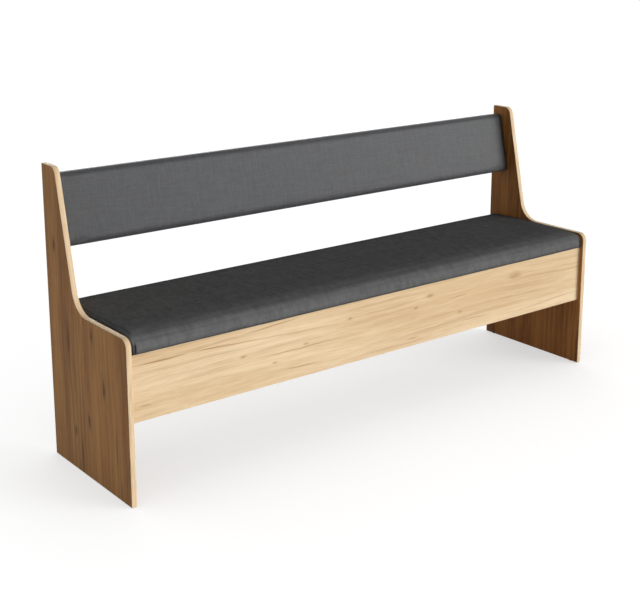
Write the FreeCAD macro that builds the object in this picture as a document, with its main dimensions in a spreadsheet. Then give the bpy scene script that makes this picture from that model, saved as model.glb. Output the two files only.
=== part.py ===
import FreeCAD, Part
import os
import Sketcher
from FreeCAD import Placement, Rotation, Vector

# Storage bench with a hinged padded seat and a padded backrest between two side panels.
# Frame: origin under the middle of the bench, +X along its length, +Y to its back, +Z up.

doc = FreeCAD.newDocument("StorageBench")

# Driving sizes in millimetres and degrees
SIZES = [
    ("bench_length", 1800, "over both side panels"),
    ("bench_depth", 445, "side panel, front edge to rear edge"),
    ("bench_height", 866, "top of the side panels"),
    ("board_thickness", 16, "every decor board"),
    ("edge_band", 1, "plastic band glued on the board edges"),
    ("shoulder_height", 470, "level shoulder of the side panel beside the seat"),
    ("wing_depth", 163, "rear edge to where the leaning edge meets the shoulder"),
    ("back_slope", 12.3, "lean of the side panel's upper edge and of the backrest"),
    ("nose_radius", 26, "front corner of the shoulder"),
    ("hollow_radius", 75, "inner curve from shoulder to leaning edge"),
    ("crest_radius", 26, "front corner of the panel's top"),
    ("glide_height", 2, "plastic glide under the side panel"),
    ("glide_radius", 7, "glide disc"),
    ("glide_inset", 35, "glide to the panel's front and rear edge"),
    ("nail_radius", 1, "nail of a glide"),
    ("nail_length", 12, "nail in the panel"),
    ("front_setback", 13, "front panel behind the side panels' front edges"),
    ("box_bottom", 232, "lower edge of the front and rear panel"),
    ("box_top", 420, "upper edge of the front and rear panel"),
    ("box_rear_gap", 135, "rear panel before the side panels' rear edges"),
    ("floor_thickness", 3, "fibreboard floor of the chest"),
    ("floor_lift", 10, "floor groove above the panels' lower edges"),
    ("groove_depth", 7, "floor groove into the boards"),
    ("groove_play", 0.2, "floor to its groove, each way"),
    ("fitting_inset", 37, "corner fittings to the panels' long edges"),
    ("cam_distance", 34, "cam centre to the end of its board"),
    ("cam_radius", 7.4, "cam disc"),
    ("cam_height", 12.2, "cam disc"),
    ("bolt_radius", 3, "shank of the cam bolt"),
    ("thread_radius", 2.5, "thread of the cam bolt"),
    ("thread_length", 10.5, "thread of the cam bolt"),
    ("cap_radius", 9, "cover cap of a cam"),
    ("cap_height", 1.3, "cover cap of a cam"),
    ("dowel_radius", 4, "beech dowel"),
    ("dowel_in_face", 10.5, "dowel in the board's face"),
    ("dowel_in_end", 21, "dowel in the board's end"),
    ("bore_play", 0.05, "bore over its fastener, on the radius"),
    ("bore_rest", 0.5, "bore past the end of its fastener"),
    ("bumper_radius", 5, "felt pad under the seat's front"),
    ("bumper_height", 1.7, "felt pad under the seat's front"),
    ("bumper_inset", 60, "outer pads to the side panels"),
    ("seat_clearance", 2, "seat above the box"),
    ("seat_gap", 3, "seat to each side panel"),
    ("seat_front_gap", 5, "seat's front face behind the side panels' front edges"),
    ("seat_rear_gap", 4, "seat's rear face before the side panels' rear edges"),
    ("seat_rise", 48, "seat cushion at its edges"),
    ("seat_crown", 2, "swell of the seat's top"),
    ("seat_swell", 3, "swell of the seat's front and rear face"),
    ("seat_roll", 18, "rounding of the seat's upper edges"),
    ("cover_thickness", 1, "upholstery fabric with its backing"),
    ("foam_wrap", 5, "foam round the edges of the boards"),
    ("hem_width", 25, "fabric turned over the back of a board"),
    ("end_rounding", 8, "rounding of the cushions' ends"),
    ("backrest_bottom", 636, "height of the backrest's lower front edge"),
    ("backrest_setback", 37, "backrest behind the leaning edge, at right angles"),
    ("backrest_height", 216, "along the lean"),
    ("backrest_thickness", 44, "at right angles to the lean"),
    ("backrest_gap", 2, "backrest to each side panel"),
    ("backrest_crown", 3, "swell of the backrest's front"),
    ("backrest_swell", 2, "swell of the backrest's upper and lower face"),
    ("backrest_roll", 14, "rounding of the backrest's front edges"),
    ("backrest_dowel_low", 50, "lower dowel above the backrest's bottom"),
    ("backrest_dowel_high", 166, "upper dowel above the backrest's bottom"),
    ("bracket_height", 84, "angle bracket behind the backrest"),
    ("bracket_middle", 64, "bracket's middle above the backrest's bottom"),
    ("bracket_on_board", 26, "bracket leg on the backrest"),
    ("bracket_on_side", 19, "bracket leg on the side panel"),
    ("bracket_screw_spread", 30, "bracket screw to the bracket's middle"),
    ("plate_thickness", 1.5, "sheet of the hinges and brackets"),
    ("hinge_length", 70, "butt hinge"),
    ("hinge_leaf", 28, "leaf from the knuckles' edge"),
    ("hinge_end", 190, "outer hinges to the side panels"),
    ("knuckle_radius", 3, "hinge knuckle"),
    ("knuckle_gap", 0.3, "knuckle to the boards"),
    ("knuckle_play", 0.15, "knuckle to its neighbour"),
    ("hinge_pin_radius", 1.5, "hinge pin"),
    ("pin_head_radius", 2.4, "rivet head of the hinge pin"),
    ("pin_head_height", 0.8, "rivet head of the hinge pin"),
    ("screw_head_radius", 3.2, "countersunk head"),
    ("screw_radius", 1.75, "screw shank"),
    ("screw_length", 14, "screw with its head"),
    ("screw_row", 9, "hinge screws to the knuckles' edge, first row"),
    ("screw_step", 12, "between the rows of hinge screws"),
    ("screw_spread", 24, "outer hinge screws to the hinge's middle"),
    ("floor_screw_length", 25, "screw up into the divider"),
    ("floor_screw_inset", 40, "outer floor screws to the divider's ends"),
    ("staple_width", 10, "staple crown"),
    ("staple_wire", 0.8, "staple wire"),
    ("staple_leg", 6, "staple leg below the surface"),
    ("staple_edge", 6, "staples inside the lining's edge"),
]

KNUCKLES = 5
SEAT_STAPLE_COUNTS = (22, 4)
BACKREST_STAPLE_COUNTS = (22, 2)

sheet = doc.addObject("Spreadsheet::Sheet", "Sizes")
for row, (alias, value, meaning) in enumerate(SIZES, 1):
    sheet.set(f"A{row}", meaning)
    sheet.set(f"B{row}", str(value))
    sheet.setAlias(f"B{row}", alias)
doc.recompute()

# Places that several pieces share, as expressions of the sheet
BOARD = "Sizes.board_thickness"
BAND = "Sizes.edge_band"
SKIN = "Sizes.cover_thickness"
PLATE = "Sizes.plate_thickness"
FRONT = "(-Sizes.bench_depth / 2)"
REAR = "(Sizes.bench_depth / 2)"
INNER = f"(Sizes.bench_length / 2 - {BOARD})"
SLOPE_TAN = "tan(Sizes.back_slope)"
SLOPE_COS = "cos(Sizes.back_slope)"
PANEL_BACK = f"({FRONT} + Sizes.front_setback + {BOARD})"
CHEST_REAR = f"({REAR} - Sizes.box_rear_gap)"
CHEST_BACK = f"({CHEST_REAR} - {BOARD})"
FLOOR_LEVEL = "(Sizes.box_bottom + Sizes.floor_lift + Sizes.groove_play)"
FLOOR_TOP = f"({FLOOR_LEVEL} + Sizes.floor_thickness)"
BOX_MIDDLE = "((Sizes.box_bottom + Sizes.box_top) / 2)"
LOW_FITTING = "(Sizes.box_bottom + Sizes.fitting_inset)"
HIGH_FITTING = "(Sizes.box_top - Sizes.fitting_inset)"
SEAT_BOTTOM = "(Sizes.box_top + Sizes.seat_clearance)"
KNUCKLE_REACH = "(Sizes.knuckle_radius + Sizes.knuckle_gap)"
HINGE_Y = f"({CHEST_REAR} + {KNUCKLE_REACH})"
HINGE_Z = f"({SEAT_BOTTOM} - {KNUCKLE_REACH})"
LEAN_Y = (f"({REAR} - Sizes.wing_depth"
          f" + (Sizes.backrest_bottom - Sizes.shoulder_height) * {SLOPE_TAN}"
          f" + Sizes.backrest_setback / {SLOPE_COS})")

# Quarter and half turns used to set fasteners
STRAIGHT = Rotation()
HALF_X = Rotation(Vector(1, 0, 0), 180)
HALF_Y = Rotation(Vector(0, 1, 0), 180)
HALF_Z = Rotation(Vector(0, 0, 1), 180)
QUARTER_Z = Rotation(Vector(0, 0, 1), 90)
X_TO_BACK = Rotation(Vector(0, 0, 1), 90)
X_TO_FRONT = Rotation(Vector(1, -1, 0), 180)
Z_TO_X = Rotation(Vector(0, 1, 0), 90)
Z_TO_MINUS_X = Rotation(Vector(0, 1, 0), -90)
Z_TO_Y = Rotation(Vector(1, 0, 0), -90)
LEAF_TURN = Rotation(Vector(0, 1, -1), 180)

nodes = []


def value(expression):
    """The number that an expression of the sheet has now."""
    return float(sheet.evalExpression(expression))


def place(item, x="0", y="0", z="0", turn=STRAIGHT):
    """Puts an object at a place bound to the sheet, turned by a fixed rotation."""
    item.Placement = Placement(Vector(value(x), value(y), value(z)), turn)
    for axis, expression in zip("xyz", (x, y, z)):
        item.setExpression(f"Placement.Base.{axis}", expression)
    return item


def lean(item):
    """Carries an object drawn square into the backrest's leaning frame."""
    item.Placement = Placement(Vector(), Rotation(Vector(1, 0, 0), -value("Sizes.back_slope")))
    item.setExpression("Placement.Base.y", LEAN_Y)
    item.setExpression("Placement.Base.z", "Sizes.backrest_bottom")
    item.setExpression("Placement.Rotation.Angle", "-Sizes.back_slope")
    return item


def box(name, x, y, z):
    """A block from pairs of expressions: lower and upper end along each axis."""
    item = doc.addObject("Part::Box", name)
    for size, (low, high) in zip(("Length", "Width", "Height"), (x, y, z)):
        item.setExpression(size, f"({high}) - ({low})")
    return place(item, x[0], y[0], z[0])


def rod(name, radius, low, high, turn=Z_TO_X):
    """A cylinder along X, or along the axis of the turn, from low to high."""
    item = doc.addObject("Part::Cylinder", name)
    item.setExpression("Radius", radius)
    item.setExpression("Height", f"({high}) - ({low})")
    axis = turn.multVec(Vector(0, 0, 1))
    start = [f"({low}) * {round(part)}" for part in axis]
    return place(item, *start, turn)


def cone(name, low_radius, high_radius, low, high):
    """A cone about Z from low to high."""
    item = doc.addObject("Part::Cone", name)
    item.setExpression("Radius1", low_radius)
    item.setExpression("Radius2", high_radius)
    item.setExpression("Height", f"({high}) - ({low})")
    return place(item, z=low)


def fuse(name, parts):
    """One solid of several overlapping or touching forms."""
    item = doc.addObject("Part::MultiFuse", name)
    item.Shapes = parts
    item.Refine = True
    return item


def group(name, parts):
    """Several separate solids in one object."""
    item = doc.addObject("Part::Compound", name)
    item.Links = parts
    return item


def cut(name, base, tools):
    """A form with the listed tools taken out of it."""
    item = doc.addObject("Part::Cut", name)
    item.Base = base
    item.Tool = tools[0] if len(tools) == 1 else group(f"{name}_tools", tools)
    item.Refine = True
    return item


def copies(name, form, places):
    """The same form at several places, as one object of separate solids."""
    links = []
    for number, (x, y, z, turn) in enumerate(places):
        link = doc.addObject("App::Link", f"{name}_{number}")
        link.LinkedObject = form
        link.LinkTransform = True
        links.append(place(link, x, y, z, turn))
    return group(name, links)


def keep(item, name):
    """Names a finished sub-part."""
    item.Label = name
    nodes.append(item)
    return item


def origin_plane(body, role):
    """A plane of the body's own origin."""
    return next(item for item in body.Origin.OriginFeatures if item.Role == role)


def prism(name, corners, length, swells=()):
    """A body padded along X from an outline in the YZ plane.

    Corners are pairs of expressions, anticlockwise. A swell names a side by its first
    corner and gives the rise of the outward arc that replaces its straight line.
    """
    body = doc.addObject("PartDesign::Body", name)
    sketch = body.newObject("Sketcher::SketchObject", f"{name}_outline")
    sketch.AttachmentSupport = [(origin_plane(body, "YZ_Plane"), "")]
    sketch.MapMode = "FlatFace"
    swells = dict(swells)
    points = [Vector(value(y), value(z), 0) for y, z in corners]
    for side, start in enumerate(points):
        end = points[(side + 1) % len(points)]
        if side in swells:
            along = (end - start).normalize()
            outward = Vector(along.y, -along.x, 0)
            crest = (start + end) * 0.5 + outward * value(swells[side])
            sketch.addGeometry(Part.Arc(start, crest, end))
        else:
            sketch.addGeometry(Part.LineSegment(start, end))
    for side in range(len(points)):
        sketch.addConstraint(Sketcher.Constraint("Coincident", side, 2, (side + 1) % len(points), 1))
    for side, (y, z) in enumerate(corners):
        for kind, tag, expression in (("DistanceX", "across", y), ("DistanceY", "height", z)):
            index = sketch.addConstraint(Sketcher.Constraint(kind, side, 1, value(expression)))
            sketch.renameConstraint(index, f"{tag}_{side}")
            sketch.setExpression(f"Constraints.{tag}_{side}", expression)
    for side, rise in swells.items():
        start, end = corners[side], corners[(side + 1) % len(corners)]
        span = f"(({end[0]} - {start[0]}) ^ 2 + ({end[1]} - {start[1]}) ^ 2)"
        radius = f"({span} / 4 + {rise} ^ 2) / (2 * {rise})"
        index = sketch.addConstraint(Sketcher.Constraint("Radius", side, value(radius)))
        sketch.renameConstraint(index, f"swell_{side}")
        sketch.setExpression(f"Constraints.swell_{side}", radius)
    pad = body.newObject("PartDesign::Pad", f"{name}_pad")
    pad.Profile = sketch
    pad.setExpression("Length", length)
    sketch.Visibility = False
    doc.recompute()
    return body


def round_edges(body, name, radius, wanted):
    """Rounds the edges of the body that the test picks."""
    base = body.Tip
    edges = [f"Edge{index}" for index, edge in enumerate(base.Shape.Edges, 1) if wanted(edge)]
    fillet = body.newObject("PartDesign::Fillet", name)
    fillet.Base = (base, edges)
    fillet.setExpression("Radius", radius)
    doc.recompute()
    return fillet


def runs_through(corner):
    """A test for the edge along X through a corner of the outline."""
    y, z = value(corner[0]), value(corner[1])
    return lambda edge: Vector(0, edge.CenterOfMass.y - y, edge.CenterOfMass.z - z).Length < 0.001


# Side panels: an upright board with a level shoulder and a leaning upper edge
def side_outline(inset, rear_corners):
    """Corners of the side panel's outline, drawn in by the inset, without its rear edge."""
    shoulder = f"(Sizes.shoulder_height - {inset})"
    top = f"(Sizes.bench_height - {inset})"
    lean_at = (f"{REAR} - Sizes.wing_depth + {inset} / {SLOPE_COS}"
               f" + {SLOPE_TAN} * ")
    nose = (f"({FRONT} + {inset})", shoulder)
    hollow = (f"({lean_at} ({shoulder} - Sizes.shoulder_height))", shoulder)
    crest = (f"({lean_at} ({top} - Sizes.shoulder_height))", top)
    foot = (f"({FRONT} + {inset})", "Sizes.glide_height")
    return [foot, *rear_corners, crest, hollow, nose]


def side_prism(name, inset, rear_corners):
    """A side panel's form with its three rounded corners."""
    corners = side_outline(inset, rear_corners)
    body = prism(name, corners, BOARD)
    crest, hollow, nose = corners[-3:]
    round_edges(body, f"{name}_nose", f"Sizes.nose_radius - {inset}", runs_through(nose))
    round_edges(body, f"{name}_hollow", f"Sizes.hollow_radius + {inset}", runs_through(hollow))
    round_edges(body, f"{name}_crest", f"Sizes.crest_radius - {inset}", runs_through(crest))
    return body


inner_rear = f"({REAR} - {BAND})"
inner_top = f"(Sizes.bench_height - {BAND})"
core_rear = [(inner_rear, "Sizes.glide_height"), (inner_rear, inner_top)]
band_rear = [
    (inner_rear, "Sizes.glide_height"),
    (inner_rear, inner_top),
    (REAR, inner_top),
    (REAR, "Sizes.bench_height"),
]

# Corner fittings, drawn at a joint: X into the board's end, Y to the face with the cam
HALF_BOARD = f"({BOARD} / 2)"
bolt_tip = "(Sizes.cam_distance + Sizes.bolt_radius)"
cam_floor = f"({HALF_BOARD} - Sizes.cam_height)"
cam_bolt_form = fuse("cam_bolt_form", [
    rod("cam_bolt_thread", "Sizes.thread_radius", "-Sizes.thread_length", "0"),
    rod("cam_bolt_shank", "Sizes.bolt_radius", "0", bolt_tip),
])
cam_blank = rod("cam_blank", "Sizes.cam_radius", cam_floor, HALF_BOARD, Z_TO_Y)
cam_blank.setExpression("Placement.Base.x", "Sizes.cam_distance")
cam_mouth = rod("cam_mouth", "Sizes.bolt_radius + Sizes.bore_play", "0",
                f"{bolt_tip} + Sizes.bore_rest")
cam_disc_form = cut("cam_disc_form", cam_blank, [cam_mouth])
cap_form = rod("cap_form", "Sizes.cap_radius", HALF_BOARD, f"{HALF_BOARD} + Sizes.cap_height", Z_TO_Y)
cap_form.setExpression("Placement.Base.x", "Sizes.cam_distance")
cam_pocket = rod("cam_pocket", "Sizes.cam_radius + Sizes.bore_play",
                 f"{cam_floor} - Sizes.bore_play", HALF_BOARD, Z_TO_Y)
cam_pocket.setExpression("Placement.Base.x", "Sizes.cam_distance")
cam_drill_form = fuse("cam_drill_form", [
    rod("thread_bore", "Sizes.thread_radius + Sizes.bore_play",
        "-Sizes.thread_length - Sizes.bore_rest", "0"),
    rod("shank_bore", "Sizes.bolt_radius + Sizes.bore_play", "0", f"{bolt_tip} + Sizes.bore_rest"),
    cam_pocket,
])
dowel_form = rod("dowel_form", "Sizes.dowel_radius", "-Sizes.dowel_in_face", "Sizes.dowel_in_end")
dowel_drill_form = rod("dowel_drill_form", "Sizes.dowel_radius + Sizes.bore_play",
                       "-Sizes.dowel_in_face - Sizes.bore_rest",
                       "Sizes.dowel_in_end + Sizes.bore_rest")

FRONT_AXIS = f"({PANEL_BACK} - {HALF_BOARD})"
REAR_AXIS = f"({CHEST_BACK} + {HALF_BOARD})"
cam_places = []
dowel_places = []
for y, left_turn, right_turn in ((FRONT_AXIS, STRAIGHT, HALF_Y), (REAR_AXIS, HALF_X, HALF_Z)):
    for end, turn in ((f"-{INNER}", left_turn), (INNER, right_turn)):
        cam_places += [(end, y, LOW_FITTING, turn), (end, y, HIGH_FITTING, turn)]
        dowel_places.append((end, y, BOX_MIDDLE, turn))
for y, turn in ((PANEL_BACK, X_TO_BACK), (CHEST_BACK, X_TO_FRONT)):
    cam_places.append(("0", y, BOX_MIDDLE, turn))
    dowel_places += [("0", y, LOW_FITTING, turn), ("0", y, HIGH_FITTING, turn)]

board_axis = f"(Sizes.backrest_thickness - {SKIN} - {HALF_BOARD})"
lean_dowel_places = [
    (end, board_axis, height, turn)
    for end, turn in ((f"-{INNER}", STRAIGHT), (INNER, HALF_Z))
    for height in ("Sizes.backrest_dowel_low", "Sizes.backrest_dowel_high")
]
cam_drillings = copies("cam_drillings", cam_drill_form, cam_places)
dowel_drillings = copies("dowel_drillings", dowel_drill_form, dowel_places)
lean_dowel_drillings = copies("lean_dowel_drillings", dowel_drill_form, lean_dowel_places)

# Countersunk screws, drawn head up at the surface with the shank going down
plate_screw_form = fuse("plate_screw_form", [
    cone("plate_screw_head", "Sizes.screw_radius", "Sizes.screw_head_radius", f"-{PLATE}", "0"),
    rod("plate_screw_shank", "Sizes.screw_radius", "-Sizes.screw_length", f"-{PLATE}", STRAIGHT),
])
floor_screw_form = fuse("floor_screw_form", [
    cone("floor_screw_head", "Sizes.screw_radius", "Sizes.screw_head_radius", f"-{PLATE}", "0"),
    rod("floor_screw_shank", "Sizes.screw_radius", "-Sizes.floor_screw_length", f"-{PLATE}", STRAIGHT),
])


def screw_drill(name, length):
    """The countersunk bore that a screw of this length leaves."""
    bore = "Sizes.screw_radius + Sizes.bore_play"
    sink = f"-{PLATE} - Sizes.bore_play"
    return fuse(name, [
        cone(f"{name}_sink", bore, "Sizes.screw_head_radius + Sizes.bore_play", sink, "0"),
        rod(f"{name}_bore", bore, f"-{length} - Sizes.bore_rest", sink, STRAIGHT),
    ])


plate_drill_form = screw_drill("plate_drill_form", "Sizes.screw_length")
floor_drill_form = screw_drill("floor_drill_form", "Sizes.floor_screw_length")

# Brackets behind the backrest, drawn in its leaning frame
BACKREST_REAR = "Sizes.backrest_thickness"
bracket_low = "(-Sizes.bracket_height / 2)"
bracket_high = "(Sizes.bracket_height / 2)"
bracket_blank = fuse("bracket_blank", [
    box("bracket_board_leg", ("-Sizes.bracket_on_board", "0"), ("0", PLATE), (bracket_low, bracket_high)),
    box("bracket_side_leg", (f"-{PLATE}", "0"), ("0", "Sizes.bracket_on_side"),
        (bracket_low, bracket_high)),
])
board_leg_middle = f"((Sizes.bracket_on_board + {PLATE}) / 2)"
side_leg_middle = f"((Sizes.bracket_on_side + {PLATE}) / 2)"
bracket_bores = []
for number, sign in enumerate((-1, 1)):
    height = f"{sign} * Sizes.bracket_screw_spread"
    bracket_bores += [
        (f"-{board_leg_middle}", PLATE, height, Z_TO_Y),
        (f"-{PLATE}", side_leg_middle, height, Z_TO_MINUS_X),
    ]
bracket_form = cut("bracket_form", bracket_blank,
                   [copies("bracket_drillings", plate_drill_form, bracket_bores)])
bracket_places = [
    (INNER, BACKREST_REAR, "Sizes.bracket_middle", STRAIGHT),
    (f"-{INNER}", BACKREST_REAR, "Sizes.bracket_middle", HALF_Y),
]
bracket_screw_places = []
for sign, side, turn in ((1, "", Z_TO_MINUS_X), (-1, "-", Z_TO_X)):
    for step in (-1, 1):
        height = f"Sizes.bracket_middle + {step} * Sizes.bracket_screw_spread"
        bracket_screw_places += [
            (f"{sign} * ({INNER} - {board_leg_middle})", f"{BACKREST_REAR} + {PLATE}", height, Z_TO_Y),
            (f"{sign} * ({INNER} - {PLATE})", f"{BACKREST_REAR} + {side_leg_middle}", height, turn),
        ]
bracket_drillings = lean(copies("bracket_screw_drillings", plate_drill_form, bracket_screw_places))
lean(lean_dowel_drillings)

# Glides with their nails
glide_form = fuse("glide_form", [
    rod("glide_disc", "Sizes.glide_radius", "0", "Sizes.glide_height", STRAIGHT),
    rod("glide_nail", "Sizes.nail_radius", "0", "Sizes.glide_height + Sizes.nail_length", STRAIGHT),
])
nail_drill_form = rod("nail_drill_form", "Sizes.nail_radius + Sizes.bore_play", "0",
                      "Sizes.glide_height + Sizes.nail_length + Sizes.bore_rest", STRAIGHT)
panel_middle = f"({INNER} + {HALF_BOARD})"
glide_places = [
    (x, y, "0", STRAIGHT)
    for x in (f"-{panel_middle}", panel_middle)
    for y in (f"{FRONT} + Sizes.glide_inset", f"{REAR} - Sizes.glide_inset")
]
nail_drillings = copies("nail_drillings", nail_drill_form, glide_places)

# Groove that holds the chest's floor in the side, front and rear panels
floor_groove = box(
    "floor_groove",
    (f"-{INNER} - Sizes.groove_depth", f"{INNER} + Sizes.groove_depth"),
    (f"{PANEL_BACK} - Sizes.groove_depth", f"{CHEST_BACK} + Sizes.groove_depth"),
    ("Sizes.box_bottom + Sizes.floor_lift", f"{FLOOR_TOP} + Sizes.groove_play"),
)

side_tools = [cam_drillings, dowel_drillings, lean_dowel_drillings, bracket_drillings,
              nail_drillings, floor_groove]
for side, start in (("left", "-Sizes.bench_length / 2"), ("right", INNER)):
    core = place(side_prism(f"{side}_core", BAND, core_rear), x=start)
    outline = place(side_prism(f"{side}_outline", "0", band_rear), x=start)
    keep(cut(f"{side}_panel", core, side_tools), f"{side}_side_panel")
    keep(cut(f"{side}_profile_band", outline, [core]), f"{side}_profile_edge_band")
    keep(box(f"{side}_rear_band", (start, f"{start} + {BOARD}"), (inner_rear, REAR),
             ("Sizes.glide_height", inner_top)), f"{side}_rear_edge_band")
keep(copies("glides", glide_form, glide_places), "floor_glides")


# Chest: front and rear panel with banded edges, divider and floor
def chest_board(name, y, tools):
    """A panel across the chest with a band on its upper and lower edge."""
    across = (f"-{INNER}", INNER)
    blank = box(f"{name}_blank", across, y,
                (f"Sizes.box_bottom + {BAND}", f"Sizes.box_top - {BAND}"))
    keep(cut(f"{name}_board", blank, tools), name)
    bands = [
        box(f"{name}_lower_band", across, y, ("Sizes.box_bottom", f"Sizes.box_bottom + {BAND}")),
        box(f"{name}_upper_band", across, y, (f"Sizes.box_top - {BAND}", "Sizes.box_top")),
    ]
    keep(group(f"{name}_bands", bands), f"{name}_edge_bands")


# Hinges, drawn about their axis with the fixed leaf going down behind the rear panel
def leaf(name, knuckles, trim, bore):
    """A hinge leaf with the knuckles of the given numbers."""
    outer = f"(-{KNUCKLE_REACH})"
    face = (outer, f"{outer} + {PLATE}")
    half = "(Sizes.hinge_length / 2)"
    forms = [box(f"{name}_plate", (f"-{half}", half), face, (f"{outer} - Sizes.hinge_leaf", outer))]
    for number in knuckles:
        low = f"-{half} + Sizes.hinge_length / {KNUCKLES} * {number} + {trim}"
        high = f"-{half} + Sizes.hinge_length / {KNUCKLES} * {number + 1} - {trim}"
        forms.append(box(f"{name}_tab_{number}", (low, high), face, (outer, "0")))
        forms.append(rod(f"{name}_knuckle_{number}", "Sizes.knuckle_radius", low, high))
    blank = fuse(f"{name}_blank", forms)
    pin_bore = rod(f"{name}_pin_bore", bore, f"-{half}", half)
    drillings = copies(f"{name}_drillings", plate_drill_form, hinge_screws("0", f"{outer} + {PLATE}", "0"))
    return cut(name, blank, [pin_bore, drillings])


def hinge_screws(x, face, z, turn=Z_TO_Y):
    """Places of one leaf's screws: two in the outer row and one between them nearer the knuckles."""
    outer_row = "Sizes.screw_row + Sizes.screw_step"
    pattern = [("-Sizes.screw_spread", outer_row), ("0", "Sizes.screw_row"),
               ("Sizes.screw_spread", outer_row)]
    return [(f"{x} + {across}", face, f"{z} - {KNUCKLE_REACH} - ({down})", turn)
            for across, down in pattern]


def lid_screws(x):
    """Places of the screws that hold a moving leaf under the seat."""
    face = f"{HINGE_Z} + {KNUCKLE_REACH} - {PLATE}"
    return [(spot[0], f"{HINGE_Y} - ({spot[2]})", face, HALF_X) for spot in hinge_screws(x, "0", "0")]


hinge_columns = [f"(-{INNER} + Sizes.hinge_end)", "0", f"({INNER} - Sizes.hinge_end)"]
fixed_leaf = leaf("fixed_leaf", (0, 2, 4), "0", "Sizes.hinge_pin_radius")
moving_leaf = leaf("moving_leaf", (1, 3), "Sizes.knuckle_play",
                   "Sizes.hinge_pin_radius + Sizes.bore_play")
half_pin = "(Sizes.hinge_length / 2)"
pin_end = f"({half_pin} + Sizes.pin_head_height)"
pin_form = fuse("pin_form", [
    rod("pin_shank", "Sizes.hinge_pin_radius", f"-{half_pin}", half_pin),
    rod("pin_left_head", "Sizes.pin_head_radius", f"-{pin_end}", f"-{half_pin}"),
    rod("pin_right_head", "Sizes.pin_head_radius", half_pin, pin_end),
])
hinge_places = [(x, HINGE_Y, HINGE_Z, STRAIGHT) for x in hinge_columns]
leaf_places = [(x, HINGE_Y, HINGE_Z, LEAF_TURN) for x in hinge_columns]
panel_screw_places = [
    spot for x in hinge_columns
    for spot in hinge_screws(x, f"{CHEST_REAR} + {PLATE}", HINGE_Z)
]
lid_screw_places = [spot for x in hinge_columns for spot in lid_screws(x)]
panel_screw_drillings = copies("panel_screw_drillings", plate_drill_form, panel_screw_places)
lid_screw_drillings = copies("lid_screw_drillings", plate_drill_form, lid_screw_places)
keep(copies("fixed_leaves", fixed_leaf, hinge_places), "hinge_fixed_leaves")
keep(copies("moving_leaves", moving_leaf, leaf_places), "hinge_moving_leaves")
keep(copies("pins", pin_form, hinge_places), "hinge_pins")
keep(copies("panel_screws", plate_screw_form, panel_screw_places), "hinge_panel_screws")
keep(copies("lid_screws", plate_screw_form, lid_screw_places), "hinge_lid_screws")

chest_tools = [cam_drillings, dowel_drillings, floor_groove]
chest_board("front_panel", (f"{PANEL_BACK} - {BOARD}", PANEL_BACK), chest_tools)
chest_board("rear_panel", (CHEST_BACK, CHEST_REAR), chest_tools + [panel_screw_drillings])

floor_screw_places = [
    ("0", y, FLOOR_LEVEL, HALF_X)
    for y in (f"{PANEL_BACK} + Sizes.floor_screw_inset", f"({PANEL_BACK} + {CHEST_BACK}) / 2",
              f"{CHEST_BACK} - Sizes.floor_screw_inset")
]
floor_drillings = copies("floor_drillings", floor_drill_form, floor_screw_places)
divider_across = (f"-{HALF_BOARD}", HALF_BOARD)
divider_along = (PANEL_BACK, CHEST_BACK)
divider_blank = box("divider_blank", divider_across, divider_along, (FLOOR_TOP, f"Sizes.box_top - {BAND}"))
keep(cut("divider", divider_blank, [cam_drillings, dowel_drillings, floor_drillings]), "centre_divider")
keep(box("divider_band", divider_across, divider_along, (f"Sizes.box_top - {BAND}", "Sizes.box_top")),
     "divider_edge_band")
groove_reach = "(Sizes.groove_depth - Sizes.groove_play)"
floor_blank = box("floor_blank", (f"-{INNER} - {groove_reach}", f"{INNER} + {groove_reach}"),
                  (f"{PANEL_BACK} - {groove_reach}", f"{CHEST_BACK} + {groove_reach}"),
                  (FLOOR_LEVEL, FLOOR_TOP))
keep(cut("floor", floor_blank, [floor_drillings]), "storage_floor")
keep(copies("floor_screw_set", floor_screw_form, floor_screw_places), "floor_screws")

keep(copies("cam_bolt_set", cam_bolt_form, cam_places), "cam_bolts")
keep(copies("cam_disc_set", cam_disc_form, cam_places), "cam_discs")
keep(copies("cap_set", cap_form, cam_places), "cam_cover_caps")
keep(group("dowels", [copies("chest_dowels", dowel_form, dowel_places),
                      lean(copies("lean_dowels", dowel_form, lean_dowel_places))]), "wood_dowels")

bumper_form = rod("bumper_form", "Sizes.bumper_radius", "0", "Sizes.bumper_height", STRAIGHT)
bumper_places = [
    (f"({INNER} - Sizes.bumper_inset) * {share} / 3", FRONT_AXIS, "Sizes.box_top", STRAIGHT)
    for share in (-3, -1, 1, 3)
]
keep(copies("bumpers", bumper_form, bumper_places), "lid_bumpers")


# Cushions: a board, foam over it, a fabric cover, and a lining where the fabric leaves the board bare
def flat_side(body, corner, next_corner):
    """A test for end edges, all but those on the cushion's flat side."""
    points = [(value(y), value(z)) for y, z in (corner, next_corner)]
    middle = [sum(part) / 2 for part in zip(*points)]

    def wanted(edge):
        centre = edge.CenterOfMass
        off_side = abs(centre.y - middle[0]) + abs(centre.z - middle[1]) > 0.01
        return edge.BoundBox.XLength < 0.001 and off_side
    return wanted


def cushion_form(name, corners, swells, flat, rolled, roll, half_length, inset):
    """A cushion's rounded body: an outline with swelling sides and rounded edges."""
    body = prism(name, corners, f"2 * ({half_length} - {inset})", swells)
    for number, index in enumerate(rolled):
        round_edges(body, f"{name}_roll_{number}", f"{roll} - {inset}", runs_through(corners[index]))
    round_edges(body, f"{name}_ends", f"Sizes.end_rounding - {inset}",
                flat_side(body, corners[flat], corners[(flat + 1) % 4]))
    return body


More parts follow.
